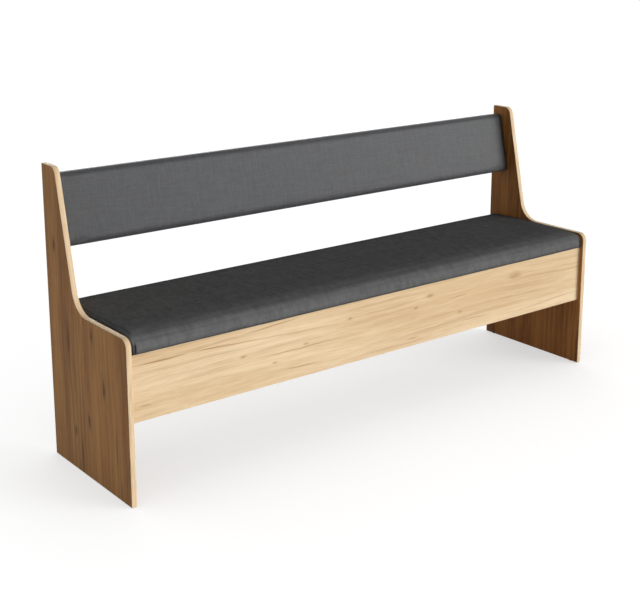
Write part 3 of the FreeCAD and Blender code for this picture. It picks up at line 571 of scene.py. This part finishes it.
FOLD_REACH = 0.012  # how far before a folded corner the dense rings start
FOLD_STEP, OPEN_STEP = 0.0011, 0.0105  # distance of the rings there and elsewhere
ROLL_FROM = 0.28  # share of the rise above which the edge is rolled, and below it tucked
CLOTH_STEPS = 20  # frames of the cloth pass
INWARD_SHARE = 0.2  # what the foam leaves of a way inwards
HELD_RISE = 0.004  # cloth held at the back, up to this rise
HEM_RISE = 0.003  # rise of the straight stapled edge
# over this rise the painted highlight on the stretched cloth sets in too; the wear named here is
# that painted highlight
FADE_RISE = 0.012  # rise over which swelling, folds and wear set in
CREASE_WIDTH = 0.0014  # half width of a folded corner's crease
FLAP_SHARE = 0.11  # how far the cloth beyond a crease lies back, as a share of the roll
# painted shade: how dark the cloth beside a folded corner's crease is painted
FLAP_SHADE = 0.65  # how dark it is beside the crease
HEM_PULL = 0.0002  # depth of the waves where the cloth is stapled behind


@dataclass
class CushionForm:
    """A cushion's sizes in metres: w runs over its width and h out from its back."""
    half: float
    width: float
    rise: float
    roll: float
    near_roll: float
    tuck: float
    end: float
    crown: float
    swell: float

    def rings_along(self, crease):
        """Places of the rings: dense on the rounded ends and at the folded corners."""
        flat = self.half - self.end
        tip = flat + self.end * np.sin(np.linspace(0, math.pi / 2, 7))
        start = crease - FOLD_REACH
        fold = np.arange(start, flat - 0.0004, FOLD_STEP)
        open_run = np.linspace(0, start, int(start / OPEN_STEP))
        positive = np.concatenate([open_run[:-1], fold, tip])
        return np.concatenate([-positive[:0:-1], positive])

    def section(self, steps_over, steps_up):
        """Fractions of width and rise round a rectangle: back, far side, top, near side.

        One more point a tuck away from each back corner keeps that corner tight.
        """
        over = np.linspace(0, 1, steps_over - 1)
        over = over - 0.05 * np.sin(2 * math.pi * over)
        beside, above = self.tuck / self.width, self.tuck / self.rise
        over = np.insert(over, [1, steps_over - 2], [beside, 1 - beside])
        up = np.insert(np.linspace(0, 1, steps_up), 1, above)
        ones_over, ones_up = np.ones(steps_over), np.ones(steps_up)
        share_w = np.concatenate([over[:-1], ones_up, over[:0:-1], 0 * ones_up])
        share_h = np.concatenate([0 * ones_over, up[:-1], ones_over, up[:0:-1]])
        return share_w, share_h

    def ring_points(self, x, share_w, share_h):
        """Each ring is a rectangle drawn in by d = e - sqrt(e^2 - t^2) at the rounded ends.

        Every point is drawn to the roll's radius about the nearest point of a smaller
        rectangle, with the tuck as radius for the lower half. The sides swell by parabolas and
        the top by 1 - |across|^5, flat in the middle and sloping towards its edges.
        """
        reach = np.clip(np.abs(x) - (self.half - self.end), 0, self.end)
        drawn = (self.end - np.sqrt(self.end ** 2 - reach ** 2))[:, None]
        low, high = self.swell + drawn, self.width - self.swell - drawn
        top = self.rise - drawn
        w = low + (high - low) * share_w
        h = top * share_h
        upper = share_h > ROLL_FROM
        rolled = np.where(share_w < 0.5, self.near_roll, self.roll)
        radius = np.maximum(np.where(upper, rolled, self.tuck) - drawn, 0.0005)
        hub_w = np.clip(w, low + radius, high - radius)
        hub_h = np.where(upper, np.minimum(h, top - radius), np.maximum(h, radius))
        off_w, off_h = w - hub_w, h - hub_h
        pull = radius / np.maximum(np.hypot(off_w, off_h), 1e-9)
        w, h = hub_w + off_w * pull, hub_h + off_h * pull
        across = 2 * share_w - 1
        upward = 2 * share_h - 1
        h = h + self.crown * (1 - np.abs(across) ** 5) * (share_h > 0.999)
        side = np.where(share_w > 0.999, 1, 0) - np.where(share_w < 0.001, 1, 0)
        w = w + self.swell * (1 - upward ** 2) * side
        return np.stack([np.broadcast_to(x[:, None], w.shape), w, h], -1)

    def skin(self, steps_over, steps_up, crease):
        """The closed skin: rings along the length and a patch at each end.

        A patch point is the mean of its row and column drawn straight between opposite
        edges, less the same between the four corners.
        """
        share_w, share_h = self.section(steps_over, steps_up)
        x = self.rings_along(crease)
        tube = self.ring_points(x, share_w, share_h)
        rings, around = tube.shape[:2]
        middle = tube[rings // 2]
        laps = np.linalg.norm(np.diff(middle, axis=0, append=middle[:1]), axis=1)
        run_w = np.concatenate([[0], np.cumsum(laps)[:-1]])
        threads = np.stack([np.broadcast_to(x[:, None], (rings, around)),
                            np.broadcast_to(run_w, (rings, around))], -1)
        points, maps = [tube.reshape(-1, 3)], [threads.reshape(-1, 2)]
        faces = tube_faces(rings, around)
        base = rings * around
        spot = np.arange(around)
        back = spot[:steps_over + 1]
        far = spot[steps_over:steps_over + steps_up + 1]
        top = spot[steps_over + steps_up:2 * steps_over + steps_up + 1][::-1]
        near = np.append(spot[2 * steps_over + steps_up:], 0)[::-1]
        for ring in (0, rings - 1):
            edge = tube[ring]
            s = np.linspace(0, 1, steps_over + 1)[:, None, None]
            t = np.linspace(0, 1, steps_up + 1)[None, :, None]
            patch = ((1 - t) * edge[back][:, None] + t * edge[top][:, None]
                     + (1 - s) * edge[near][None] + s * edge[far][None]
                     - (1 - s) * (1 - t) * edge[back[0]] - s * (1 - t) * edge[back[-1]]
                     - (1 - s) * t * edge[top[0]] - s * t * edge[top[-1]])
            index = np.empty((steps_over + 1, steps_up + 1), int)
            index[:, 0], index[:, -1] = back + ring * around, top + ring * around
            index[0, :], index[-1, :] = near + ring * around, far + ring * around
            inner = (steps_over - 1) * (steps_up - 1)
            index[1:-1, 1:-1] = base + np.arange(inner).reshape(steps_over - 1, steps_up - 1)
            base += inner
            inside = patch[1:-1, 1:-1].reshape(-1, 3)
            points.append(inside)
            run_x = inside[:, 0] + np.sign(inside[:, 0]) * inside[:, 2]
            maps.append(np.stack([run_x, inside[:, 1]], -1))
            quads = np.stack([index[:-1, :-1], index[1:, :-1], index[1:, 1:], index[:-1, 1:]], -1)
            faces += quads.reshape(-1, 4).tolist()
        threads = np.concatenate(maps)[np.array(faces)]
        threads[around - 1:(rings - 1) * around:around, 1:3, 1] = laps.sum()
        return np.concatenate(points), faces, threads.reshape(-1, 2)


def settle_cloth(piece, held, pressure, cap):
    """Blows the cloth up over the foam with its back held. The foam takes back four fifths of
    each inward way. What is left is drawn to cap tanh(way / cap), so no point goes further than
    the foam swells, and fades out towards the straight stapled edge."""
    count = len(piece.data.vertices)
    start = np.empty(count * 3, np.float32)
    piece.data.vertices.foreach_get("co", start)
    start = start.reshape(-1, 3)
    group = piece.vertex_groups.new(name="held")
    group.add(np.flatnonzero(held).tolist(), 1.0, "REPLACE")
    cloth = piece.modifiers.new("Filling", "CLOTH")
    cloth.settings.quality = 4
    cloth.settings.use_pressure = True
    cloth.settings.uniform_pressure_force = pressure
    cloth.settings.vertex_group_mass = "held"
    cloth.settings.effector_weights.gravity = 0
    cloth.point_cache.frame_start = 1
    cloth.point_cache.frame_end = CLOTH_STEPS
    for step in range(1, CLOTH_STEPS + 1):
        bpy.context.scene.frame_set(step)
    graph = bpy.context.evaluated_depsgraph_get()
    blown = np.empty(count * 3, np.float32)
    piece.evaluated_get(graph).data.vertices.foreach_get("co", blown)
    piece.modifiers.remove(cloth)
    piece.vertex_groups.clear()
    bpy.context.scene.frame_set(1)
    way = blown.reshape(-1, 3) - start
    way = np.where(way * (start - start.mean(0)) < 0, way * INWARD_SHARE, way)
    length = np.maximum(np.linalg.norm(way, axis=1, keepdims=True), 1e-9)
    free = np.clip((start[:, 2:] - HELD_RISE) / FADE_RISE, 0, 1)
    return start + way / length * cap * np.tanh(length / cap) * free * free * (3 - 2 * free)


def fold_corners(points, form, crease_at, depth):
    """Folded corners on the two long sides: a crease as a bell across x, and the cloth beyond
    it lower by a share of the roll, both fading out before the roll. Returns the points and
    the painted shade of the crease and of the cloth beyond it."""
    x, w, h = points.T
    off = (np.abs(x) - crease_at) / CREASE_WIDTH
    bell = np.exp(-off ** 2)
    flap = 1 / (1 + np.exp(-np.clip(off * 2, -30, 30)))
    past_roll = np.abs(w - form.width / 2) - (form.width / 2 - form.roll)
    side = np.clip(past_roll / (form.roll * 0.5), 0, 1)
    below = np.clip((form.rise - form.roll * 0.35 - h) / 0.010, 0, 1)
    give = np.clip((h - HEM_RISE) / FADE_RISE, 0, 1)
    strength = side * side * (3 - 2 * side) * (np.clip(h / HEM_RISE, 0, 1) * below)
    outward = np.sign(w - form.width / 2)
    moved = points.copy()
    moved[:, 1] -= outward * strength * give * (flap * FLAP_SHARE * form.roll + bell * depth)
    return moved, np.clip(bell + flap * FLAP_SHADE, 0, 1) * strength


def pull_hem(points, form, strength):
    """Small pulls where the cloth is stapled behind: waves along the long sides' lower half."""
    x, w, h = points.T
    wave = np.sin(x * 83.0 + 0.7 * np.sin(x * 21.0)) * np.sin(x * 13.0 + 1.0)
    past_roll = np.abs(w - form.width / 2) - (form.width / 2 - form.roll)
    side = np.clip(past_roll / form.roll, 0, 1)
    low = np.clip(1 - h / (form.rise * 0.7), 0, 1)
    moved = points.copy()
    moved[:, 1] += np.sign(w - form.width / 2) * wave * strength * side * low
    return moved


def cushion(name, form, carry, finish, body, crease_at, steps, highlight_width, cloth):
    """Start form, cloth pass, folded corners, then the turn into place and one subdivision. The
    cloth gets a painted highlight at its edges, fading over the highlight width from the near edge."""
    points, faces, threads = form.skin(*steps, crease_at)
    piece = shape_piece(name, points, faces, finish, None, threads)
    count = len(points)
    co = np.empty(count * 3, np.float32)
    piece.data.vertices.foreach_get("co", co)
    points = co.reshape(-1, 3)
    points = settle_cloth(piece, points[:, 2] < HELD_RISE, cloth.pressure,
                          min(cloth.swell, form.crown))
    points[:, 2] = np.maximum(points[:, 2], 0)
    points = pull_hem(points, form, HEM_PULL)
    points, crease = fold_corners(points, form, crease_at, cloth.pleat_depth)
    piece.data.vertices.foreach_set("co", carry(points).astype(np.float32).ravel())
    # painted highlight mask: full on the rolled edges, fading from the near edge
    off_edge = (np.abs(points[:, 1] / form.width - 0.5) - 0.5) * form.width
    side = np.clip(off_edge / form.roll + 1, 0, 1)
    lifted = np.clip(points[:, 2] / FADE_RISE, 0, 1)
    taut_and_highlight = lifted * np.maximum(side, np.clip(1 - points[:, 1] / highlight_width, 0, 1) ** 2)
    # painted shade along the lower hem, where the cloth turns under
    crease = np.maximum(crease, 0.5 * side * np.exp(-(points[:, 2] / HEM_RISE) ** 2))
    for mark, share in (("crease", crease), ("taut_and_highlight", taut_and_highlight)):
        layer = piece.data.attributes.new(mark, "FLOAT", "POINT")
        layer.data.foreach_set("value", share.astype(np.float32))
    piece.data.update()
    smooth = piece.modifiers.new("Smooth", "SUBSURF")
    smooth.levels = smooth.render_levels = 1
    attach(piece, body)
    return piece


def lining_sheet(name, half, low, high, carry, finish, body):
    """A thin sheet over the cushion's back, waved by less than its thickness, edges turned in.

    Its height is a product of sines along and across, and a bell at the rim.
    """
    long_lines, cross_lines = 171, 31
    x, w = np.meshgrid(np.linspace(-half, half, long_lines), np.linspace(low, high, cross_lines),
                       indexing="ij")
    rim = np.minimum(np.minimum(half - np.abs(x), w - low), high - w)
    wave = 0.00008 * np.sin(x * 61 + 2 * np.sin(w * 29)) * np.sin(w * 47 + np.sin(x * 17))
    h = 0.00018 + wave + 0.00012 * np.exp(-(rim / 0.004) ** 2)
    points = np.stack([x, w, -h], -1).reshape(-1, 3)
    row, column = np.meshgrid(np.arange(long_lines - 1), np.arange(cross_lines - 1), indexing="ij")
    corner = row * cross_lines + column
    quads = np.stack([corner, corner + cross_lines, corner + cross_lines + 1, corner + 1], -1)
    quads = quads.reshape(-1, 4)[:, ::-1]
    threads = points[quads.ravel(), :2]
    piece = shape_piece(name, carry(points), quads.tolist(), finish, body, threads)
    wall = piece.modifiers.new("Thickness", "SOLIDIFY")
    wall.thickness = 0.0002
    wall.offset = 0
    return piece


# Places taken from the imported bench, in metres

SLOPE = math.radians(12.3)  # lean of the side panels' upper edge
SEAT_AT = np.array([0, -0.220, 0.4224])  # lower front edge of the seat cushion's place
BACK_AT = Vector((0.0, 0.13356, 0.636))  # lower front edge of the backrest's place
BACK_DEPTH = 0.0436  # from there to the backrest's back plane
BACK_RAISE = 0.0015  # from there up the lean to the cushion
FOOT = 0.002  # where the side panels' bands end above the floor
SHOULDER = 0.470  # height of the side panels beside the seat
WING = 0.163  # depth of their upper part where the lean starts
NOSE, HOLLOW, CREST = 0.026, 0.075, 0.026  # radii of their outline: front, hollow and top
BAND = 0.001  # thickness of the bands
CAMERA_AT = (-2.325, -2.8575, 1.512)
CAMERA_YAW, CAMERA_PITCH = math.radians(52.02), math.radians(13.33)
CAMERA_SHIFT = -0.15


def seat_place(points):
    """Width runs to the back and the rise goes up."""
    return points + SEAT_AT


def backrest_place(points):
    """Width runs up the lean and the rise comes forward, at right angles to the lean."""
    x, w, h = (points + np.array([0, BACK_RAISE, 0])).T
    out = BACK_DEPTH - h
    y = BACK_AT.y + out * math.cos(SLOPE) + w * math.sin(SLOPE)
    z = BACK_AT.z - out * math.sin(SLOPE) + w * math.cos(SLOPE)
    return np.stack([x, y, z], -1)


# Marks of the oak print, in metres of the bench's frame: along the grain and across it

# Knots: place along, place across, size
SIDE_KNOTS = [
    (0.292, -0.090, 0.014), (0.430, -0.032, 0.014), (0.172, 0.002, 0.013),
    (0.118, 0.088, 0.011), (0.640, 0.170, 0.014),
]
FRONT_KNOTS = [
    (0.178, 0.380, 0.009), (0.120, 0.352, 0.006), (0.310, 0.302, 0.006),
    (0.560, 0.378, 0.017), (-0.530, 0.338, 0.007), (-0.310, 0.330, 0.006),
    (-0.422, 0.298, 0.006), (-0.145, 0.372, 0.005),
]

# Cracks: place along, place across, half length, slope, half width, strength
SIDE_CRACKS = [
    (0.30, -0.090, 0.055, 0.02, 0.0035, 0.55), (0.20, 0.035, 0.16, 0.03, 0.003, 0.45),
    (0.56, 0.135, 0.17, -0.02, 0.004, 0.45), (0.12, -0.15, 0.10, 0.02, 0.003, 0.35),
]
FRONT_CRACKS = [
    (-0.785, 0.3885, 0.085, 0.0, 0.0024, 0.75), (-0.590, 0.385, 0.12, -0.055, 0.0024, 0.75),
    (-0.380, 0.374, 0.17, -0.045, 0.0035, 0.35), (-0.430, 0.408, 0.11, 0.060, 0.0028, 0.75),
    (-0.315, 0.321, 0.165, 0.005, 0.0026, 0.70), (-0.322, 0.266, 0.070, -0.005, 0.0026, 0.60),
    (-0.842, 0.273, 0.022, -0.08, 0.0030, 0.55), (0.300, 0.355, 0.045, 0.02, 0.0024, 0.55),
    (0.105, 0.256, 0.030, 0.05, 0.0035, 0.55), (0.380, 0.270, 0.070, 0.01, 0.0024, 0.50),
    (0.700, 0.258, 0.180, 0.060, 0.0030, 0.45),
]


# Plain finishes: name, light tone, dark tone, settings, and the pieces that take it

INNER_BOARDS = [
    ("raw_particle_board", (0.70, 0.50, 0.29), (0.42, 0.27, 0.13),
     {"rough": 0.85, "scale": 160.0, "relief": 0.5, "gloss": 0.15},
     ["seat_board", "backrest_board"]),
    ("beech_dowel", (0.72, 0.50, 0.30), (0.55, 0.34, 0.18),
     {"rough": 0.7, "scale": 90.0, "stretch": (0.15, 1, 1), "gloss": 0.2}, ["wood_dowels"]),
]
FITTINGS = [
    ("bright_zinc", (0.62, 0.63, 0.65), (0.44, 0.45, 0.47),
     {"rough": 0.34, "scale": 240.0, "metallic": 1.0},
     ["hinge_fixed_leaves", "hinge_moving_leaves", "hinge_pins", "backrest_brackets"]),
    ("zinc_screw", (0.58, 0.58, 0.57), (0.38, 0.38, 0.38),
     {"rough": 0.30, "scale": 700.0, "metallic": 1.0},
     ["hinge_panel_screws", "hinge_lid_screws", "bracket_screws", "floor_screws", "cam_bolts"]),
    ("staple_wire", (0.52, 0.53, 0.55), (0.34, 0.35, 0.37),
     {"rough": 0.35, "scale": 900.0, "metallic": 1.0}, ["seat_staples", "backrest_staples"]),
    ("cast_zinc", (0.42, 0.42, 0.43), (0.26, 0.26, 0.27),
     {"rough": 0.5, "scale": 500.0, "metallic": 1.0, "relief": 0.5}, ["cam_discs"]),
    ("oak_coloured_cap", (0.74, 0.53, 0.31), (0.66, 0.45, 0.25),
     {"rough": 0.45, "scale": 60.0, "stretch": (1, 1, 6)}, ["cam_cover_caps"]),
    ("brown_glide", (0.20, 0.11, 0.06), (0.15, 0.08, 0.04),
     {"rough": 0.5, "scale": 300.0}, ["floor_glides"]),
    ("grey_felt", (0.20, 0.20, 0.20), (0.10, 0.10, 0.10),
     {"rough": 0.95, "scale": 1500.0, "relief": 1.0, "gloss": 0.05}, ["lid_bumpers"]),
]


# Operators: one for each group of like pieces

class BENCH_OT_boards(bpy.types.Operator):
    """Oak decor on the side panels and on the chest's panels and divider"""
    bl_idname = "bench.boards"
    bl_label = "Boards"

    def execute(self, context):
        look = context.scene.bench_boards
        # painted shade: the right panel's oak is darker and browner by these shares, for the shade
        # on its inner face
        for side, shade, seed in (("left", 1.0, 2.0), ("right", 0.80, 3.0)):
            shares = (shade, shade ** 1.6, shade ** 2.4)
            tones = [[part * share for part, share in zip(tone, shares)]
                     for tone in (look.shaded_side_light, look.shaded_side_dark, look.shaded_side_crack)]
            made = oak_print(f"oak_{side}_side", 2, 1, *tones, SIDE_KNOTS, SIDE_CRACKS,
                             streaks=0.9, seed=seed, ringed=0.55, knot_strength=0.95)
            dress(made, f"{side}_side_panel")
        tones = (look.front_light, look.front_dark, look.crack)
        front = oak_print("oak_front_panel", 0, 2, *tones, FRONT_KNOTS, FRONT_CRACKS,
                          streaks=0.16, seed=5.0, margin=(0.394, 0.25))
        dress(front, "front_panel")
        rear = oak_print("oak_rear_panel", 0, 2, *tones, [], [], streaks=0.3, seed=11.0)
        dress(rear, "rear_panel")
        divider = oak_print("oak_divider", 1, 2, *tones, [], [], streaks=0.3, seed=17.0)
        dress(divider, "centre_divider")
        return {"FINISHED"}


class BENCH_OT_edge_bands(bpy.types.Operator):
    """Edge bands with rounded edges round the side panels and on the chest's boards"""
    bl_idname = "bench.edge_bands"
    bl_label = "Edge bands"

    def execute(self, context):
        look = context.scene.bench_boards
        cross = band_finish("oak_band_side", look.band)
        long_band = band_finish("oak_band_chest", look.band, along="x")
        front, rear, top = bench_low.y, bench_high.y, bench_high.z
        turn = rear - WING
        crest = turn + (top - SHOULDER) * math.tan(SLOPE)
        outline = [(front, FOOT), (front, SHOULDER), (turn, SHOULDER), (crest, top), (rear, top)]
        for side in ("left", "right"):
            low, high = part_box(f"{side}_side_panel")
            across = (low.x, high.x)
            band = edge_band(f"{side}_profile_band", outline, [NOSE, HOLLOW, CREST], (1, 2),
                             across, look.band_rounding, cross)
            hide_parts(f"{side}_profile_edge_band")
            band = edge_band(f"{side}_rear_band", [(rear, top - BAND), (rear, FOOT)], [], (1, 2),
                             across, look.band_rounding, cross)
            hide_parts(f"{side}_rear_edge_band")
        for panel in ("front_panel", "rear_panel"):
            low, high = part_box(f"{panel}_edge_bands")
            for edge, run in (("lower", [(high.x, low.z), (low.x, low.z)]),
                              ("upper", [(low.x, high.z), (high.x, high.z)])):
                band = edge_band(f"{panel}_{edge}_band", run, [], (0, 2), (low.y, high.y),
                                 look.band_rounding, long_band)
                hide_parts(f"{panel}_edge_bands")
        low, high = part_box("divider_edge_band")
        band = edge_band("divider_upper_band", [(low.y, high.z), (high.y, high.z)], [], (1, 2),
                         (low.x, high.x), look.band_rounding, cross)
        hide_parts("divider_edge_band")
        return {"FINISHED"}


class BENCH_OT_seat(bpy.types.Operator):
    """Seat cushion with its cover, folded corners and the lining under it"""
    bl_idname = "bench.seat"
    bl_label = "Seat"

    def execute(self, context):
        cloth = context.scene.bench_fabric
        # the cloth's last two settings give the painted highlight on its stretched front edge: its
        # share and its width
        finish = woven_cloth("seat_cloth", cloth.seat, cloth.thread, slubs=0.24, streak=0.35,
                             mottle=0.8, rough=0.9, highlight_share=0.62, gloss=0.0)
        form = CushionForm(half=0.8803, width=0.437, rise=0.0430, roll=0.024, near_roll=0.024,
                           tuck=0.002, end=0.0055, crown=0.0065, swell=0.003)
        piece = cushion("seat_cushion", form, seat_place, finish, "seat", crease_at=0.8690,
                        steps=(46, 10), highlight_width=0.13, cloth=cloth)
        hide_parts("seat_cover", "seat_foam")
        lining = lining_sheet("seat_underlining", 0.850, 0.0335, 0.4075, seat_place,
                              lining_finish(), "seat")
        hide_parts("seat_lining")
        return {"FINISHED"}


class BENCH_OT_backrest(bpy.types.Operator):
    """Backrest cushion with its cover, and the lining behind it"""
    bl_idname = "bench.backrest"
    bl_label = "Backrest"

    def execute(self, context):
        cloth = context.scene.bench_fabric
        # the cloth's last two settings give the painted highlight on its stretched edges: its share
        # and its width
        finish = woven_cloth("backrest_cloth", cloth.backrest, cloth.thread, slubs=1.0,
                             streak=0.0, mottle=0.40, rough=0.42, highlight_share=0.45, gloss=0.25)
        form = CushionForm(half=0.8805, width=0.213, rise=0.0416, roll=0.012, near_roll=0.006,
                           tuck=0.002, end=0.008, crown=0.0015, swell=0.002)
        piece = cushion("backrest_cushion", form, backrest_place, finish, "carcass",
                        crease_at=0.8685, steps=(26, 9), highlight_width=0.012, cloth=cloth)
        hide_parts("backrest_cover", "backrest_foam")
        lining = lining_sheet("backrest_rear_lining", 0.851, 0.0295, 0.1835, backrest_place,
                              lining_finish(), "carcass")
        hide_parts("backrest_lining")
        return {"FINISHED"}


class BENCH_OT_inner_boards(bpy.types.Operator):
    """Fibreboard floor, particle boards inside the cushions and beech dowels"""
    bl_idname = "bench.inner_boards"
    bl_label = "Inner boards"

    def execute(self, context):
        dress(floor_finish(), "storage_floor")
        for name, light, dark, settings, pieces in INNER_BOARDS:
            dress(plain_finish(name, light, dark, **settings), *pieces)
        return {"FINISHED"}


class BENCH_OT_fittings(bpy.types.Operator):
    """Metal, plastic and felt finishes of the hinges, brackets, screws, cams, glides and pads"""
    bl_idname = "bench.fittings"
    bl_label = "Fittings"

    def execute(self, context):
        for name, light, dark, settings, pieces in FITTINGS:
            dress(plain_finish(name, light, dark, **settings), *pieces)
        return {"FINISHED"}


class BENCH_OT_stage(bpy.types.Operator):
    """Pale floor, soft lights and the camera"""
    bl_idname = "bench.stage"
    bl_label = "Stage"

    def execute(self, context):
        look = context.scene.bench_stage
        scene = context.scene
        mesh = bpy.data.meshes.new("studio_floor")
        reach = 60
        corners = [(-reach, -reach, 0), (reach, -reach, 0), (reach, reach, 0), (-reach, reach, 0)]
        mesh.from_pydata(corners, [], [(0, 1, 2, 3)])
        mesh.materials.append(floor_paint())
        floor = bpy.data.objects.new("studio_floor", mesh)
        scene.collection.objects.link(floor)
        for name, share, towards in (("key_light", look.key, (0.66, -0.74, 0.15)),
                                     ("rear_light", look.fill, (0.50, 0.85, 0.14))):
            light = bpy.data.lights.new(name, "SUN")
            light.energy = share * math.pi
            light.angle = math.radians(36)
            lamp = bpy.data.objects.new(name, light)
            lamp.rotation_euler = Vector(towards).to_track_quat("Z", "Y").to_euler()
            scene.collection.objects.link(lamp)
        scene.world = sky(look.sky)
        camera = bpy.data.cameras.new("bench_camera")
        camera.sensor_width = 36.0
        camera.lens = look.lens
        camera.shift_y = CAMERA_SHIFT
        camera.clip_end = 500.0
        holder = bpy.data.objects.new("bench_camera", camera)
        level = math.cos(CAMERA_PITCH)
        ahead = Vector((math.cos(CAMERA_YAW) * level, math.sin(CAMERA_YAW) * level,
                        -math.sin(CAMERA_PITCH)))
        holder.location = CAMERA_AT
        holder.rotation_euler = ahead.to_track_quat("-Z", "Y").to_euler()
        scene.collection.objects.link(holder)
        scene.camera = holder
        scene.view_settings.view_transform = "Standard"
        return {"FINISHED"}


class BENCH_PT_pieces(bpy.types.Panel):
    """The bench's pieces and what can be changed on them"""
    bl_idname = "BENCH_PT_pieces"
    bl_label = "Padded storage bench"
    bl_space_type = "VIEW_3D"
    bl_region_type = "UI"
    bl_category = "Bench"

    def draw(self, context):
        scene = context.scene
        for settings in (scene.bench_boards, scene.bench_fabric, scene.bench_stage):
            box = self.layout.box()
            for name in settings.__annotations__:
                box.prop(settings, name)
        for operator in OPERATORS:
            self.layout.operator(operator.bl_idname)


GROUPS = (BenchBoards, BenchFabric, BenchStage)
OPERATORS = (BENCH_OT_boards, BENCH_OT_edge_bands, BENCH_OT_inner_boards, BENCH_OT_fittings,
             BENCH_OT_backrest, BENCH_OT_seat, BENCH_OT_stage)


def register():
    for item in (*GROUPS, *OPERATORS, BENCH_PT_pieces):
        bpy.utils.register_class(item)
    bpy.types.Scene.bench_boards = PointerProperty(type=BenchBoards)
    bpy.types.Scene.bench_fabric = PointerProperty(type=BenchFabric)
    bpy.types.Scene.bench_stage = PointerProperty(type=BenchStage)


def unregister():
    del bpy.types.Scene.bench_boards, bpy.types.Scene.bench_fabric, bpy.types.Scene.bench_stage
    for item in (*GROUPS, *OPERATORS, BENCH_PT_pieces):
        bpy.utils.unregister_class(item)


def main():
    """Dresses the bench piece by piece."""
    register()
    for operator in OPERATORS:
        getattr(bpy.ops.bench, operator.bl_idname.split(".")[1])()


if __name__ == "__main__":
    main()
